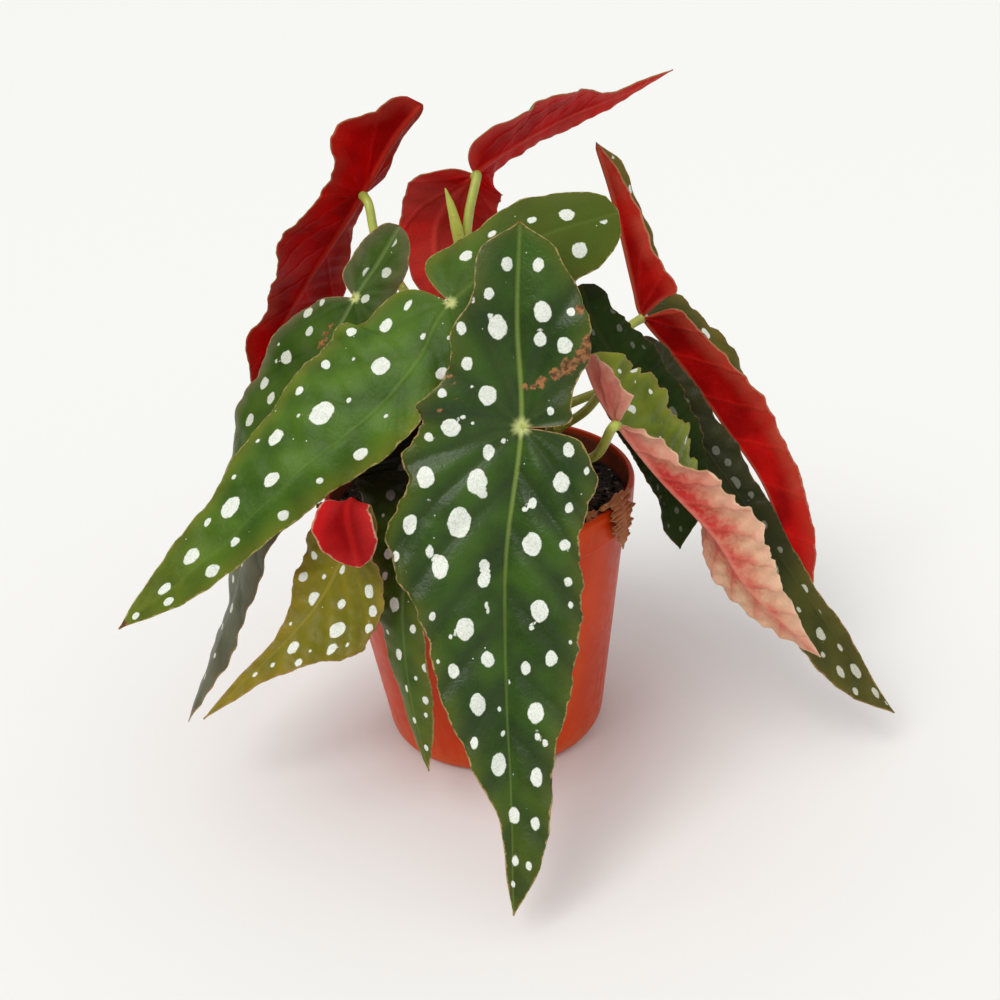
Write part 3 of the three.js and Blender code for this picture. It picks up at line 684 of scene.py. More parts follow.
frontBlade = {
    **usualBlade,
    "line": [
        [20, -48, 218], [17, -58, 189], [16, -66, 156], [8, -82, 117], [5, -98, 77], [4, -114, 45],
        [2, -131, 12],
    ],
    "face": [[-90, 15], [-90, 22], [-90, 28], [-90, 28], [-90, 26], [-90, 25], [-90, 20]],
    "left": [13, 20, 23, 22, 16, 20, 26, 24, 23, 25, 25, 24, 22, 20, 16, 14, 13, 11, 7],
    "right": [13, 14, 21, 23, 33, 32, 37, 34, 39, 36, 29, 25, 23, 20, 15, 11, 5, 3, 2],
    "leftFold": [10, 10], "rightFold": [10, 10], "notch": "left", "wave": 1.2, "phase": 1, "cup": 12,
    "ripple": 0, "roundness": 1.4, "closing": 1, "seed": 1, "quilt": 1.2, "crimp": 0.08, "specular": 0.3,
    "spots": [
        [6, -26, 4], [6, 44, 4], [10, -64, 3.5], [11, -93, 1.8], [12.5, 77, 2.5], [12.5, 37, 6],
        [13, -49, 1], [14.5, -31, 6.5], [14.5, -87, 3], [16.5, 32, 4.5], [17.5, 64, 5], [19, -75, 4],
        [22.5, -56, 1], [23, -86, 3], [24, -35, 6.5], [26.5, 58, 2.5], [27.5, -58, 1.8], [28.5, -49, 1],
        [29.5, -71, 6.5], [31, -17, 1.6], [31.5, -88, 3], [31.5, 72, 4], [33, -28, 4.5], [34, 88, 2],
        [36, 57, 6], [37.5, -35, 7], [38, -82, 6], [39, -29, 2.5], [39.5, 28, 3], [39.5, 76, 3],
        [40.5, 18, 1.6], [41, -77, 1], [43.5, -43, 8.5], [44.5, -82, 5], [45, 81, 4], [45.5, 36, 7],
        [47.5, -65, 3], [48.5, -95, 2.5], [49, -19, 3.5], [49.5, -58, 6], [51, 82, 3], [51, -20, 4.5],
        [54.5, 85, 2], [54.5, -21, 1], [55.5, 46, 6.5], [55.5, -20, 1], [56, -84, 2.5], [58, -50, 6.5],
        [58, 35, 1.5], [59, -69, 1.3], [60, 88, 1.3], [62.5, -25, 4.5], [62.5, -92, 1.6],
        [62.5, 65, 4.5], [64, 30, 4], [64, -73, 4], [66, 4, 1], [69, -47, 6], [70, -13, 1.6],
        [70.5, 49, 6], [73.5, -11, 1.7], [74, 58, 2], [74.5, -72, 3], [75, 76, 2], [78, -29, 6],
        [79.5, 8, 1], [80, 62, 4.5], [85.5, 6, 4.5], [86.5, 62, 3.5], [92, 8, 3], [92.5, 59, 2.5],
        [95.5, 0, 1.5],
    ],
    # along the lobe's lower edge the scars are partly a dried edge and partly a painted shadow of the gap
    # beneath it
    "scarsAndShadows": [
        [23, 8, 1.5], [23, 22, 2], [22.5, 38, 3], [21.5, 55, 3.5], [20.5, 72, 5], [19, 90, 5.5],
        [17, 98, 4.5], [12, 92, 3.5], [20.5, -95, 1.4], [22, -80, 1.3], [24, -68, 1.3], [24.5, -60, 1.2],
        [26, -78, 1.2],
    ],
    # painted shade in the vein valleys is stronger on this blade
    "upper": {
        "Rib": (0.26, 0.36, 0.07), "Veins": 0.06, "Valley Shade": 0.55, "Margin": (0.42, 0.28, 0.1),
        "Starry": 5, "Deep": (0.015, 0.042, 0.001), "Fresh": (0.038, 0.09, 0.004),
        "Warm": (0.12, 0.125, 0.01), "Warmth": 0.55, "Gloss": 0.3,
    },
}
bladePiece("front_blade", "leaf_front", frontBlade)

leftBlade = {
    **usualBlade,
    "line": [
        [55, -14, 211], [24, -26, 206], [-4, -40, 191], [-16, -52, 176], [-32, -60, 162],
        [-57, -66, 146], [-89, -72, 121], [-123, -76, 98],
    ],
    "face": [
        [-80, 30], [-85, 35], [-105, 35], [-115, 38], [-120, 38], [-120, 38], [-115, 38], [-110, 35],
    ],
    "left": [18, 20, 17, 15, 14, 13, 11, 9, 7],
    "right": [15, 17, 20, 31, 32, 28, 22, 16, 10],
    "leftFold": [-15, -15, -20, -35, -35], "rightFold": [-20, -20, -10, 5, 10, 5, 0, -5, -10], "cup": 14,
    "closing": 2, "seed": 2, "specular": 0.14,
    "spots": [
        [3, 12, 2.5], [8, 50, 5.5], [8, -27, 5], [13, -40, 2.5], [14, 20, 4.5], [18.5, -62, 2.5],
        [20, 25, 5], [23.5, -52, 4], [26, 30, 3.5], [33, -55, 3], [35.5, 40, 1.4], [36.5, -60, 5],
        [36.5, -7, 2.5], [40, 60, 3.5], [42, -82, 4], [44, -28, 6.5], [46, -58, 1.2], [49, 30, 1.2],
        [50.5, -80, 4.5], [51.5, -28, 1.4], [55, 60, 4], [56, -37, 8], [57, -79, 2.5], [59, -55, 1.2],
        [62, 55, 2], [63.5, -61, 5], [66, -82, 1.3], [67.5, -20, 5], [69.5, 65, 3.5], [72, -75, 1.5],
        [75, -43, 7], [77.5, 25, 3], [79.5, -63, 3], [83, 52, 4.5], [84.5, -31, 5.5], [90.5, -12, 4],
        [91, 52, 3], [96.5, 8, 2.5],
    ],
    "scarsAndShadows": [[99.5, 0, 6]],
    "upper": {
        "Deep": (0.04, 0.094, 0.006), "Fresh": (0.078, 0.16, 0.012), "Warm": (0.2, 0.19, 0.015),
        "Warmth": 0.7, "Rib": (0.16, 0.24, 0.04), "Veins": 0.08, "Ribbed": 0.3, "Aged": 0.75,
        "Margin": (0.42, 0.32, 0.11),
    },
}
bladePiece("left_blade", "leaf_left", leftBlade)

backLeftBlade = {
    **usualBlade,
    "line": [
        [-10, 34, 244], [-22, 36, 232], [-36, 40, 212], [-49, 46, 195], [-64, 50, 176], [-81, 52, 149],
        [-91, 48, 107],
    ],
    "face": [[120, 10], [115, 15], [115, 25], [115, 25], [120, 25], [125, 20], [130, 10]],
    "left": [13, 22, 17, 16, 23, 28, 24, 17, 12, 14, 10, 6, 3],
    "right": [4, 5, 8, 5, 7, 13, 20, 26, 23, 19, 14, 11, 6],
    "leftFold": [5, -5, -20, -5, 0], "rightFold": [20, 15, 20], "phase": 2, "seed": 3, "quilt": 0.12,
    "scatter": (13, 40, (2, 7)),
    "upper": {"Deep": (0.04, 0.09, 0.01)},
    "under": {
        "Base": (0.46, 0.001, 0.001), "Dark": (0.25, 0.001, 0.001), "Vein": (0.5, 0.006, 0.004),
        "Rib": (0.5, 0.03, 0.015), "Veins": 0.2,
    },
}
bladePiece("back_left_blade", "leaf_back_left", backLeftBlade)

leftBehindBlade = {
    **usualBlade,
    "line": [
        [-21, 6, 207], [-30, 2, 195], [-39, -2, 184], [-59, -16, 156], [-80, -28, 127], [-92, -36, 87],
        [-117, -44, 36],
    ],
    "face": [[-100, 30], [-105, 30], [-120, 30], [-130, 30], [-155, 20], [-168, 12], [-170, 10]],
    "left": [12, 16, 20, 25, 27, 21, 16, 12, 8],
    "right": [11, 22, 26, 27, 24, 17, 13, 9, 7],
    "leftFold": [-5, -10, -20, -15, -30], "rightFold": [0, 5, 12, 8, -10], "cup": 14, "ripple": 0.02,
    "closing": 5, "seed": 4, "specular": 0.06,
    "spots": [
        [3, 8, 4], [8, 42, 3.5], [10, -12, 3.5], [14, 30, 3], [18, -58, 2.5], [20.5, -72, 4],
        [23.5, -42, 3], [26, 20, 4], [28, -80, 1.3], [29.5, -55, 5], [31, -68, 1.2], [33, 35, 4.5],
        [36, -72, 5], [37.5, -42, 4], [43, -60, 4], [45, 30, 4.5], [48, -30, 4.5], [53, -62, 3.5],
        [58, -20, 4], [62, -60, 3.5], [66, 10, 4], [71, -40, 3], [75, 20, 3.5], [80, -20, 2.5],
        [85, 20, 2], [90, 0, 1.8],
    ],
    "scarsAndShadows": [[21, -14, 1.6], [22.5, -13, 2], [24, -12, 2], [25, -13, 1.6]],
    "upper": {
        "Deep": (0.024, 0.058, 0.004), "Fresh": (0.052, 0.1, 0.01), "Veins": 0.1, "Ribbed": 0.4,
        "Aged": 0.75, "Aged At": 0.64, "Young At": 0.5, "Olive": (0.125, 0.115, 0.08),
        "Warm": (0.18, 0.14, 0.08), "Warmth": 0.9, "Spot": (0.62, 0.64, 0.54),
    },
    "under": {"Base": (0.16, 0.05, 0.04), "Dark": (0.09, 0.04, 0.035)},
}
bladePiece("left_behind_blade", "leaf_left_behind", leftBehindBlade)

topBlade = {
    **usualBlade,
    "line": [
        [-10, 34, 170], [-9, 40, 198], [7, 26, 219], [25, 36, 228], [44, 48, 234], [65, 58, 239],
        [87, 70, 245],
    ],
    "face": [[95, -5], [100, 5], [100, 35], [100, 42], [100, 42], [100, 42], [100, 42]],
    "left": [20, 24, 19, 15, 8, 7, 7, 6, 3],
    "right": [11, 15, 17, 15, 24, 25, 15, 4, 3],
    "leftFold": [10, 5, -5, -15, -5], "rightFold": [10, 5, -5, -10, -10], "wave": 0.8, "cup": 14,
    "seed": 5, "quilt": 0.15, "scatter": (15, 45, (2, 6.5)),
    "upper": {"Deep": (0.045, 0.1, 0.01)},
    # painted light makes this blade's back lobe paler
    "under": {
        "Base": (0.6, 0.003, 0.002), "Dark": (0.36, 0.002, 0.002), "Vein": (0.62, 0.012, 0.008),
        "Rib": (0.62, 0.05, 0.03), "Veins": 0.2, "Faded": (0.62, 0.07, 0.055), "Lobe Light": 0.5,
        "Margin": (0.5, 0.16, 0.08),
    },
}
bladePiece("top_blade", "leaf_top", topBlade)

backRightBlade = {
    **usualBlade,
    "line": [
        [54, 46, 224], [60, 44, 202], [66, 36, 170], [69, 32, 158], [82, 26, 141], [99, 20, 115],
        [118, 16, 82], [135, 14, 21],
    ],
    "face": [[20, 20], [20, 20], [20, 20], [25, 25], [30, 30], [35, 30], [45, 25], [45, 20]],
    "left": [15, 19, 26, 31, 31, 28, 22, 15, 8],
    "right": [8, 14, 22, 17, 20, 18, 15, 14, 9],
    "leftFold": [60, 60, 65, 55, 45], "rightFold": [40, 30, 45, 55, 55], "joint": 3, "wave": 0.8,
    "cup": 0, "roundness": 1, "seed": 6, "quilt": 0.2, "scatter": (16, 50, (2, 5.5)),
    "upper": {"Deep": (0.06, 0.06, 0.006), "Fresh": (0.12, 0.1, 0.01), "Warm": (0.2, 0.13, 0.02)},
    "under": {
        "Base": (0.52, 0.006, 0.004), "Dark": (0.26, 0.002, 0.002), "Vein": (0.58, 0.02, 0.012),
        "Veins": 0.25, "Faded": (0.6, 0.09, 0.05), "Margin": (0.5, 0.2, 0.12),
    },
}
bladePiece("back_right_blade", "leaf_back_right", backRightBlade)

youngBlade = {
    **usualBlade,
    "line": [
        [39, -44, 171], [43, -48, 159], [49, -50, 148], [62, -56, 130], [80, -60, 108], [93, -62, 86],
        [118, -64, 58],
    ],
    "face": [[20, 20], [20, 20], [20, 25], [35, 25], [70, 25], [80, 25], [80, 25]],
    "left": [22, 26, 29, 29, 26, 19, 16, 11, 7],
    "right": [12, 10, 12, 15, 15, 15, 12, 9, 4],
    "leftFold": [60, 60, 60, 35, 15], "rightFold": [30, 25, 25, 15, 0], "wave": 1, "cup": 0,
    "ripple": 0.03, "seed": 7, "quilt": 1.5, "crimp": 0.5, "veins": 9, "teeth": 2.2,
    "scatter": (17, 45, (1.5, 5.5)),
    "upper": {
        "Deep": (0.09, 0.12, 0.008), "Fresh": (0.22, 0.27, 0.02), "Warm": (0.34, 0.32, 0.04),
        "Warmth": 0.6,
    },
    "under": {
        "Base": (0.58, 0.1, 0.08), "Dark": (0.46, 0.02, 0.018), "Vein": (0.6, 0.12, 0.09),
        "Rib": (0.66, 0.22, 0.16), "Faded": (0.72, 0.4, 0.28), "Margin": (0.74, 0.5, 0.34), "Lobe Light": 0.3,
        "Creamy": 0.72, "Veins": 0.45, "Cream": (0.72, 0.52, 0.32),
    },
}
bladePiece("young_blade", "leaf_young_right", youngBlade)

lowLeftBlade = {
    **usualBlade,
    "line": [
        [-39, -84, 119], [-41, -82, 137], [-40, -74, 138], [-43, -64, 122], [-54, -66, 101],
        [-69, -72, 86], [-100, -80, 62],
    ],
    "face": [[80, -10], [85, -40], [90, -85], [-110, 30], [-110, 35], [-110, 30], [-110, 25]],
    "left": [8, 6, 12, 18, 22, 22, 12, 6, 3],
    "right": [12, 7, 13, 14, 14, 10, 4, 3, 2],
    "leftFold": [20, 25, 0, 5, 15], "rightFold": [0, 0, 0, -5, -10], "joint": 3, "notch": "none",
    "cup": 8, "ripple": 0.04, "seed": 8, "quilt": 0.9,
    "spots": [
        [46, 10, 2.5], [46.5, 72, 4.5], [47, -68, 3], [50.5, -22, 1.5], [50.5, 84, 3.5], [53.5, 33, 3],
        [54, -75, 3], [54.5, 88, 2.5], [57, -18, 4.5], [59, 52, 5], [60, 82, 1.4], [63, 0, 1.2],
        [63, 75, 3], [66, -50, 1.2], [67, 60, 1], [69.5, 30, 4], [71, 80, 2.5], [76.5, 40, 1.6],
        [82, 20, 1.5],
    ],
    "upper": {
        "Deep": (0.16, 0.15, 0.008), "Fresh": (0.25, 0.2, 0.012), "Warm": (0.28, 0.17, 0.02),
        "Warmth": 0.6, "Rib": (0.3, 0.25, 0.04),
    },
    # painted shade between the veins is strongest on this blade's flap
    "under": {
        "Base": (0.48, 0.004, 0.005), "Dark": (0.22, 0.002, 0.003), "Vein": (0.56, 0.02, 0.02),
        "Margin": (0.6, 0.35, 0.22), "Rib": (0.4, 0.01, 0.008), "Faded": (0.62, 0.03, 0.03),
        "Pillow Shade": 0.75,
    },
}
bladePiece("low_left_blade", "leaf_low_left", lowLeftBlade)

narrowBlade = {
    **usualBlade,
    "line": [
        [-22, -34, 160], [-20, -36, 146], [-17, -48, 135], [-23, -59, 114], [-28, -69, 97],
        [-29, -74, 76], [-28, -76, 56], [-25, -78, 31],
    ],
    "face": [[-100, 50], [-100, 40], [-100, 30], [-100, 15], [-95, 10], [-95, 10], [-95, 10], [-95, 10]],
    "left": [12, 11, 7, 8, 7, 8, 8, 8, 5],
    "right": [22, 27, 23, 18, 13, 11, 9, 6, 4],
    "leftFold": [20, 25, 20, 12, 10], "rightFold": [5, -10, -30, -45, -55], "notch": "none",
    "ripple": 0.03, "seed": 9,
    "spots": [
        [10, 20, 3], [14, -60, 3.5], [20, -30, 4], [29, -48, 3.5], [34.5, -62, 1.4], [43, -50, 3.5],
        [48, -60, 2.5], [54.5, -27, 4.5], [60, 50, 2.5], [62, -70, 1.3], [67, -28, 3.5], [70, 88, 2.5],
        [73, 40, 1.5], [76, -12, 2], [79, 66, 3], [83.5, 60, 1.8], [85, -12, 2], [93, 40, 1.8],
    ],
    # painted shade darkens this blade's base, which lies in the shade of the leaves above
    "upper": {
        "Deep": (0.032, 0.07, 0.006), "Fresh": (0.065, 0.115, 0.012), "Warm": (0.2, 0.18, 0.02),
        "Painted Shade": 0.88, "Shade Ends At": 0.33,
    },
}
bladePiece("narrow_blade", "leaf_narrow_front", narrowBlade)

darkRightBlade = {
    **usualBlade,
    "line": [
        [42, -8, 185], [46, -14, 170], [55, -18, 154], [64, -24, 130], [69, -28, 107], [73, -31, 88],
    ],
    "face": [[-60, 40], [-60, 40], [-60, 35], [-60, 25], [-65, 15], [-70, 10]],
    "left": [10, 14, 17, 18, 19, 19, 18, 14, 10],
    "right": [11, 12, 16, 16, 15, 13, 10, 5, 6],
    "leftFold": [-5, 0, 10, 20, 25], "rightFold": [10, 10, 10, 20, 20], "notch": "none", "wave": 0.8,
    "seed": 10, "specular": 0.06, "scatter": (20, 26, (2, 5)),
    # painted shade: every colour of this blade's upper side, spots and star too, is darkened, as the leaves
    # above shade it
    "upper": {
        "Deep": (0.008, 0.018, 0.002), "Fresh": (0.016, 0.034, 0.003), "Warm": (0.03, 0.03, 0.006),
        "Rib": (0.035, 0.05, 0.01), "Star": (0.1, 0.12, 0.03), "Spot": (0.12, 0.13, 0.09),
        "Margin": (0.1, 0.06, 0.02),
    },
}
bladePiece("dark_right_blade", "leaf_dark_right", darkRightBlade)

rightBlade = {
    **usualBlade,
    "line": [
        [66, 21, 154], [69, 16, 147], [73, 9, 140], [85, -1, 119], [101, -14, 95], [118, -26, 68],
        [135, -39, 43], [153, -47, 18],
    ],
    "face": [[-60, 35], [-60, 35], [-60, 35], [-60, 30], [-60, 30], [-60, 30], [-60, 25], [-60, 25]],
    "left": [9, 10, 11, 9, 8, 6, 5, 5, 2],
    "right": [6, 12, 20, 21, 21, 19, 17, 16, 11],
    "leftFold": [30, 30, 35, 30, 20], "rightFold": [10, 10, 10, 5, 5], "notch": "none", "wave": 0.8,
    "ripple": 0.015, "seed": 11,
    "spots": [
        [18, 35, 3], [24, 20, 3], [28, -40, 4], [30.5, 30, 3.5], [34, 40, 3], [38, -50, 4],
        [38.5, 20, 4.5], [42.5, 50, 2.5], [48, -40, 4], [49.5, 25, 3], [56, 30, 2.5], [58, -30, 4.5],
        [63, -60, 3], [66, 20, 2.5], [68.5, -45, 2], [72, 10, 1.6], [75.5, -32, 4.5], [79, -62, 2],
        [80.5, -10, 2.5], [84, -60, 4], [86.5, -18, 5], [89.5, -72, 3], [93.5, -20, 3.5], [97, 0, 1.4],
    ],
    # painted shade darkens this blade up to 0.6 of its length, where the leaf above shades it, and its
    # spots are drawn dimmer
    "upper": {
        "Deep": (0.035, 0.04, 0.006), "Fresh": (0.07, 0.07, 0.01), "Warm": (0.16, 0.12, 0.025),
        "Rib": (0.12, 0.11, 0.03), "Spot": (0.55, 0.55, 0.44), "Painted Shade": 0.74, "Shade Ends At": 0.6,
    },
    "under": {"Base": (0.16, 0.008, 0.008), "Dark": (0.09, 0.004, 0.004)},
}
bladePiece("right_blade", "leaf_right", rightBlade)


# Dry litter: a withered scrap that hangs from the soil over the rim

litter = {
    **usualBlade,
    "azimuth": -33,
    "path": [[46, 102.4], [52, 103.4], [55.4, 108], [58.8, 110.9], [61.6, 107], [61.8, 100], [61.4, 91]],
    "tilt": [85, 100, 150, 90, 20, 0, 0],
    "left": [4, 7, 8, 6, 5],
    "right": [6, 8, 7, 8, 4],
    "leftFold": [0, 0], "rightFold": [0, 0], "notch": "none", "wave": 0.3, "cup": 0, "ripple": 0.25,
    "crimp": 0.8, "quilt": 0.8, "teeth": 0.4, "scatter": (31, 10, (1, 2.2)),
    "upper": {
        "Deep": (0.42, 0.13, 0.06), "Fresh": (0.7, 0.22, 0.08), "Warm": (0.7, 0.28, 0.11),
        "Rib": (0.3, 0.15, 0.07), "Star": (0.3, 0.15, 0.07), "Spot": (0.6, 0.32, 0.16), "Specks": 0.8,
        "Warmth": 0.9, "Gloss": 0.6,
    },
    "under": {"Base": (0.4, 0.12, 0.06), "Dark": (0.22, 0.06, 0.03)},
}


def litterBlade(litter):
    # the scrap is a small blade whose line climbs from the soil over the rim
    turn = math.radians(litter["azimuth"])
    line = [[r * math.cos(turn), r * math.sin(turn), z] for r, z in litter["path"]]
    return {**litter, "line": line, "face": [[litter["azimuth"], tilt] for tilt in litter["tilt"]]}


bladePiece("litter_scrap", "dry_litter", litterBlade(litter))


# Stems, stalks and the young shoot

stemLook = {
    "caneRadius": 3.4, "caneSides": 28, "knotSwell": 1.1, "knotLength": 2.6,
    "stalkRadius": 1.8, "stalkReach": 7, "stalkGap": 0.55,
}


def skinGroup():
    group, given = newGroup("stalkSkin", {
        "Base": (0.3, 0.33, 0.05), "Shade": (0.12, 0.15, 0.03), "Blush": (0.3, 0.08, 0.03),
        "Blushed": 0.4, "Dots": (0.55, 0.5, 0.28), "Gloss": 0.38,
    })
    where = ownPlace(group)
    broad = mottle(where, 60, 1, 3)
    grain = mottle(where, 420, 2, 3, 0.6)
    dots = cells(where, 520)["Distance"]
    knot = fade(ownData(group, "knot")["Fac"], 0.1, 0.9)
    red = times(plus(fade(broad, 0.5, 0.7, 0, 0.5), knot), given["Blushed"])
    colour = layered(
        blend(fade(broad, 0.35, 0.65), given["Base"], given["Shade"]), given,
        (red, "Blush"), (fade(dots, 0.12, 0.24, 0.45, 0), "Dots"),
        (fade(grain, 0.35, 0.7, 0, 0.25), "Shade"),
    )
    gloss = plus(given["Gloss"], fade(grain, 0.3, 0.7, -0.05, 0.12))
    return closeGroup(group, colour, gloss, plus(times(grain, 0.2), fade(dots, 0.1, 0.3, 0.1, 0)))


skin = skinGroup()
skins = [
    makeMaterial("cane_skin", skin, {"Base": (0.19, 0.2, 0.04), "Blushed": 0.8}, {"Coat Weight": 0.1}),
    makeMaterial("stalk_skin", skin, {
        "Base": (0.5, 0.58, 0.1), "Shade": (0.36, 0.42, 0.06), "Blushed": 0.2,
    }, {"Coat Weight": 0.15, "Subsurface Weight": 0.1, "Subsurface Scale": 0.002}),
    makeMaterial("shoot_skin", skin, {
        "Base": (0.5, 0.55, 0.08), "Shade": (0.38, 0.43, 0.04), "Blushed": 0.05,
    }, {"Coat Weight": 0.2}),
]


def caneShape(stem):
    # a round rod along the cane's points, swollen in a bell round each knot
    line = smoothLine(stem["cane"], 30)
    swell = np.zeros(len(line))
    for knot in stem["knots"]:
        away = np.linalg.norm(line - np.array(knot, float), axis=1)
        swell = np.maximum(swell, np.exp(-((away / stemLook["knotLength"]) ** 2)))
    radii = stemLook["caneRadius"] * np.linspace(1.02, 0.9, len(line)) + stemLook["knotSwell"] * swell
    return tube(line, radii, stemLook["caneSides"]), swell


def stalkShape(blade, by, reach=stemLook["stalkReach"]):
    # a rod from the cane to the joint of its blade, a little thicker at its foot and at the blade
    _, line, normal, _, jointStep = bladeLength(blade)
    joint, facing = line[jointStep], normal[jointStep]
    path = smoothLine([*by, joint - facing * reach, joint - facing * stemLook["stalkGap"]], 22)
    t = np.linspace(0, 1, len(path))
    radii = stemLook["stalkRadius"] * (0.97 + 0.3 * np.exp(-t * 14) + 0.16 * np.exp(-(1 - t) * 22))
    return tube(path, radii, 22)


def shootShape(shoot):
    # a slim spear that swells a quarter of the way up, bends a little and runs out to a point
    t = np.linspace(0, 1, 60)
    foot, tip = np.array(shoot["foot"], float), np.array(shoot["tip"], float)
    line = foot + (tip - foot) * t[:, None]
    line[:, 0] += shoot["bend"] * np.sin(np.pi * t) * t
    radii = shoot["radius"] * np.interp(t, [0, 0.25, 0.5, 0.8, 0.97, 1], [0.72, 1, 0.95, 0.6, 0.2, 0.04])
    return tube(line, radii, 24)


def stemPiece(name, node, stem):
    cane, swell = caneShape(stem)
    shapes = [cane] + [stalkShape(*stalk) for stalk in stem["stalks"]]
    kinds = [0] + [1] * len(stem["stalks"])
    if "shoot" in stem:
        shapes.append(shootShape(stem["shoot"]))
        kinds.append(2)
    points, faces = joinShapes(shapes)
    knot = np.zeros(len(points))
    swell = np.repeat(swell, stemLook["caneSides"])
    knot[: len(swell)] = swell
    which = np.repeat(kinds, [len(shapeFaces) for _, shapeFaces in shapes])
    return addMesh(name, points, faces, skins, [node], {"knot": knot}, which)


# each stalk is its blade, the points it leaves the cane by, and how far it bends under the joint
tallStem = {
    "cane": [[2, 6, 91], [-3, 4, 112], [2, 8, 136], [-3, 9, 160], [2, 12, 182], [1, 16, 194]],
    "knots": [[-3, 4, 112], [2, 8, 136], [-3, 9, 160], [2, 12, 182]],
    "stalks": [
        (frontBlade, [[1, 6, 124], [7, -16, 137]]),
        (leftBlade, [[-3, 9, 160], [-4, -12, 171]]),
        (topBlade, [[1, 16, 192], [4, 20, 207]], 2),
        (backLeftBlade, [[-3, 9, 160], [-20, 22, 174], [-31, 29, 194]]),
    ],
    "shoot": {"foot": [1, 15, 189], "tip": [-4, 16, 217], "radius": 2.3, "bend": 0.8},
}
stemPiece("tall_stem", "stem_tall", tallStem)

leftStem = {
    "cane": [[-19, -18, 91], [-22, -17, 110], [-18, -14, 130], [-20, -10, 146]],
    "knots": [[-22, -17, 110], [-18, -14, 130]],
    "stalks": [
        (leftBehindBlade, [[-20, -10, 144], [-28, 2, 162]]),
        (narrowBlade, [[-18, -14, 130], [-15, -34, 130]]),
        (lowLeftBlade, [[-22, -17, 110], [-42, -36, 114]]),
    ],
}
stemPiece("left_stem", "stem_left", leftStem)

rightStem = {
    "cane": [[24, 0, 91], [28, 2, 112], [32, 8, 132], [40, 14, 146]],
    "knots": [[28, 2, 112], [32, 8, 132]],
    "stalks": [
        (backRightBlade, [[38, 13, 143], [52, 24, 150]]),
        (rightBlade, [[32, 8, 132], [52, 8, 138]]),
        (darkRightBlade, [[30, 5, 124], [42, -6, 136]]),
        (youngBlade, [[28, 2, 112], [42, -27, 126]], 3),
    ],
}
stemPiece("right_stem", "stem_right", rightStem)


# Pot

pot = {
    "height": 109,
    "rimRadius": 60,
    "collarHeight": 14,
    "collarStep": 2.5,
    "footRadius": 44,
    "footRound": 6,
    "wall": 1.5,
    "groove": {"inner": 20, "outer": 36, "depth": 1.6},
    "drain": {"count": 6, "radius": 4, "ring": 28, "reach": (-8, 12)},
    "sides": 180,
}


def potProfile(pot):
    # half outline from the middle of the underside up the outside, over the rim and down the inside;
    # the third number of a corner is how far its rounding is cut back
    foot, groove, wall = pot["footRadius"], pot["groove"], pot["wall"]
    collar = pot["height"] - pot["collarHeight"]
    rim, top = pot["rimRadius"], pot["height"]
    wallTop = rim - 1 - pot["collarStep"]
    return rounded([
        (0, 0, 0), (groove["inner"], 0, 0.5), (groove["inner"] + 1, groove["depth"], 0.5),
        (groove["outer"] - 1, groove["depth"], 0.5), (groove["outer"], 0, 0.4),
        (foot, 0, pot["footRound"]), (wallTop, collar, 0.5), (rim - 1, collar + 1, 0.7),
        (rim, top - 1.2, 0.8), (rim - 0.8, top, 0.5), (rim - 2.2, top, 0.6),
        (rim - 3.2, collar + 2, 0.8), (wallTop - wall, collar - 1, 0.8),
        (foot - wall, pot["footRound"], 2), (foot - 6, groove["depth"] + wall, 1.5),
        (0, groove["depth"] + wall, 0),
    ], 6)


def plasticGroup():
    group, given = newGroup("mouldedPlastic", {
        "Base": (0.68, 0.06, 0.004), "Deep": (0.5, 0.034, 0.002), "Dust": (0.6, 0.16, 0.05),
        "Soil And Shade": (0.06, 0.035, 0.02), "Gloss": 0.34,
    })
    where = ownPlace(group)
    x, y, z = split(where)
    broad = mottle(where, 22, 1, 3)
    grain = mottle(where, 260, 2, 3, 0.6)
    stretched = addNode("Mapping", {"Vector": where, "Scale": (1, 1, 0.08)})[0]
    streaks = mottle(stretched, 170, 4, 3, 0.6)
    low = plus(z, fade(grain, 0.3, 0.7, -0.004, 0.004))
    splash = fade(mottle(where, 900, 5, 2), 0.66, 0.74)
    # painted shade: the inside of the collar is darkened with the soil colour, less so at the lip, standing
    # in for the shade in the pot
    rim, top = pot["rimRadius"] * millimetre, pot["height"] * millimetre
    collar = top - pot["collarHeight"] * millimetre
    away = calc("SQRT", plus(calc("POWER", x, 2), calc("POWER", y, 2)))
    innerShade = times(
        fade(away, rim - 0.0018, rim - 0.0012, 1, 0), fade(z, collar + 0.0015, collar + 0.003),
        fade(z, top - 0.0035, top - 0.0005, 0.92, 0.3), fade(broad, 0.3, 0.6, 0.8, 1),
    )
    colour = layered(
        blend(fade(broad, 0.3, 0.7), given["Base"], given["Deep"]), given,
        (fade(streaks, 0.52, 0.75, 0, 0.25), "Dust"), (fade(low, 0.0, 0.016, 0.35, 0), "Dust"),
        (times(splash, fade(z, collar - 0.005, top - 0.001, 0.05, 0.6)), "Soil And Shade"), (innerShade, "Soil And Shade"),
    )
    gloss = plus(given["Gloss"], fade(grain, 0.3, 0.7, -0.04, 0.08), fade(streaks, 0.45, 0.75, 0, 0.14))
    rings = times(calc("SINE", times(z, 5200)), 0.006)
    return closeGroup(group, colour, gloss, plus(times(grain, 0.05), rings, times(broad, 0.4)))


plastic = makeMaterial("orange_plastic", plasticGroup(), {}, {"Specular IOR Level": 0.12})


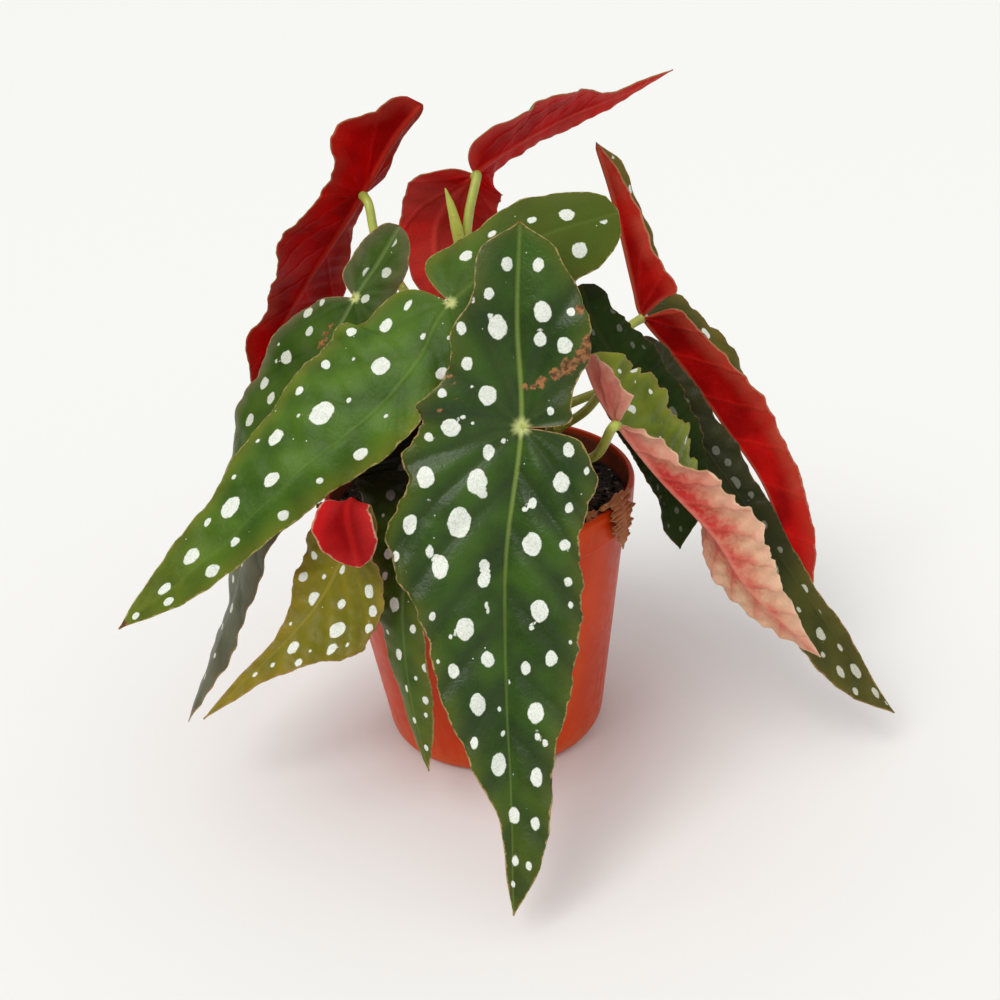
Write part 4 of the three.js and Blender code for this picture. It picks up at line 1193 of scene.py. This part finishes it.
def potPiece(pot):
    # the outline turned about the axis, less a ring of round holes through the floor
    points, faces = turned(potProfile(pot), pot["sides"])
    piece = addMesh("plastic_pot", points, faces, [plastic], ["pot"])
    drain, drills = pot["drain"], []
    low, high = drain["reach"]
    drill, drillFaces = turned([(0, low), (drain["radius"], low), (drain["radius"], high), (0, high)], 40)
    for turn in (np.arange(drain["count"]) + 0.5) / drain["count"] * 2 * math.pi:
        at = (drain["ring"] * math.cos(turn), drain["ring"] * math.sin(turn), 0)
        drills.append((drill + at, drillFaces))
    points, faces = joinShapes(drills)
    drill = addToScene("drill", newMesh("drill", points * millimetre, faces))
    cut = piece.modifiers.new("drain", "BOOLEAN")
    cut.operation, cut.object, cut.solver = "DIFFERENCE", drill, "EXACT"
    bpy.context.view_layer.update()
    holed = bpy.data.meshes.new_from_object(piece.evaluated_get(bpy.context.evaluated_depsgraph_get()))
    piece.modifiers.clear()
    piece.data = holed
    holed.polygons.foreach_set("use_smooth", np.ones(len(holed.polygons), bool))
    bpy.data.objects.remove(drill)
    return piece


potPiece(pot)


# Soil

soil = {
    "level": 100,
    "crumb": 1.1,
    "pitch": 5.5,
    "radius": 56.2,
    "side": [(0, 3.4), (37.5, 3.4), (42.1, 7), (54.2, 93), (56.2, 97.4)],
    "rings": 90,
    "sides": 220,
    "lumps": 900,
    "lumpArea": 55,
    "lumpSize": (0.35, 1.5),
    "lumpShape": [(0, -1), (0.8, -0.55), (1, 0.1), (0.65, 0.75), (0, 1)],
    "seed": 7,
}


def crumbHeight(x, y):
    # the frame's crumbs plus finer ones, both fading out towards the wall
    k = 2 * np.pi / soil["pitch"]
    coarse = np.sin(0.31 * k * x + 1) * np.cos(0.27 * k * y)
    fine = np.sin(0.83 * k * x + 0.4 * k * y) * np.cos(0.71 * k * y - 0.3 * k * x)
    finer = np.sin(2.3 * k * x - 1.4 * k * y) * np.cos(1.9 * k * y + 1.1 * k * x)
    finest = np.sin(4.1 * k * x + 2.2 * k * y + 2) * np.cos(3.7 * k * y - 2.9 * k * x)
    fadeOut = np.clip((50 - np.hypot(x, y)) / 10, 0, 1)
    crumbs = soil["crumb"] * (coarse + 0.7 * fine)
    return fadeOut * crumbs + (0.3 + 0.7 * fadeOut) * (0.35 * finer + 0.22 * finest)


def soilGroup():
    group, given = newGroup("pottingSoil", {
        "Dark": (0.008, 0.006, 0.0045), "Brown": (0.045, 0.027, 0.016), "Bark": (0.12, 0.06, 0.03),
        "Grit": (0.35, 0.3, 0.22),
    })
    where = ownPlace(group)
    broad = mottle(where, 160, 1, 4, 0.65)
    fine = mottle(where, 900, 2, 3, 0.6)
    lumps = cells(where, 620)
    pick = split(lumps["Color"])
    colour = layered(
        blend(fade(broad, 0.35, 0.7), given["Dark"], given["Brown"]), given,
        (fade(pick[0], 0.8, 0.9, 0, 0.8), "Bark"), (fade(pick[1], 0.955, 0.975, 0, 0.85), "Grit"),
        # painted shade in the gaps between the crumbs
        (fade(lumps["Distance"], 0.35, 0.7, 0, 0.6), "Dark"),
    )
    height = plus(fade(lumps["Distance"], 0, 0.7, 0.9, 0), times(fine, 0.5))
    return closeGroup(group, colour, fade(fine, 0.3, 0.7, 0.75, 0.98), height)


pottingSoil = makeMaterial("potting_soil", soilGroup(), {}, {"Specular IOR Level": 0.25})


def soilPiece(soil):
    # a body turned about the axis inside the pot, its top raised by the crumb formula
    level = soil["level"]
    top = [(r, level) for r in np.linspace(soil["radius"], 0.4, soil["rings"])]
    points, faces = turned([*soil["side"], *top, (0, level)], soil["sides"])
    raised = points[:, 2] > level - 0.01
    points[raised, 2] += crumbHeight(points[raised, 0], points[raised, 1])
    # lumps strewn evenly over it, few of them large, each a rough ball
    draw = np.random.default_rng(soil["seed"])
    radius = soil["lumpArea"] * np.sqrt(draw.uniform(0, 1, soil["lumps"]))
    turn = draw.uniform(0, 2 * np.pi, soil["lumps"])
    x, y = radius * np.cos(turn), radius * np.sin(turn)
    low, high = soil["lumpSize"]
    size = low + (high - low) * draw.uniform(0, 1, soil["lumps"]) ** 2.5
    centre = np.stack([x, y, level + crumbHeight(x, y) + 0.3 * size], 1)
    ball, ballFaces = turned(soil["lumpShape"], 7)
    shapes = [(points, faces)]
    for middle, scale in zip(centre, size):
        rough = ball * (1 + draw.uniform(-0.3, 0.3, (len(ball), 1))) * draw.uniform(0.6, 1.3, 3) * scale
        shapes.append((rough + middle, ballFaces))
    points, faces = joinShapes(shapes)
    return addMesh("crumbly_soil", points, faces, [pottingSoil], ["soil"])


soilPiece(soil)


# Floor and the end

def addFloor(studio):
    size = studio["floorSize"] / 2
    paint = bpy.data.materials.new("floor_paint")
    paint.use_nodes = True
    inputs = paint.node_tree.nodes["Principled BSDF"].inputs
    inputs["Base Color"].default_value = (*studio["floorColour"], 1)
    inputs["Roughness"].default_value = 0.9
    inputs["Specular IOR Level"].default_value = 0.1
    corners = [(-size, -size, 0), (size, -size, 0), (size, size, 0), (-size, size, 0)]
    mesh = newMesh("floor", corners, [(0, 1, 2, 3)])
    mesh.materials.append(paint)
    addToScene("floor", mesh)


addFloor(studio)
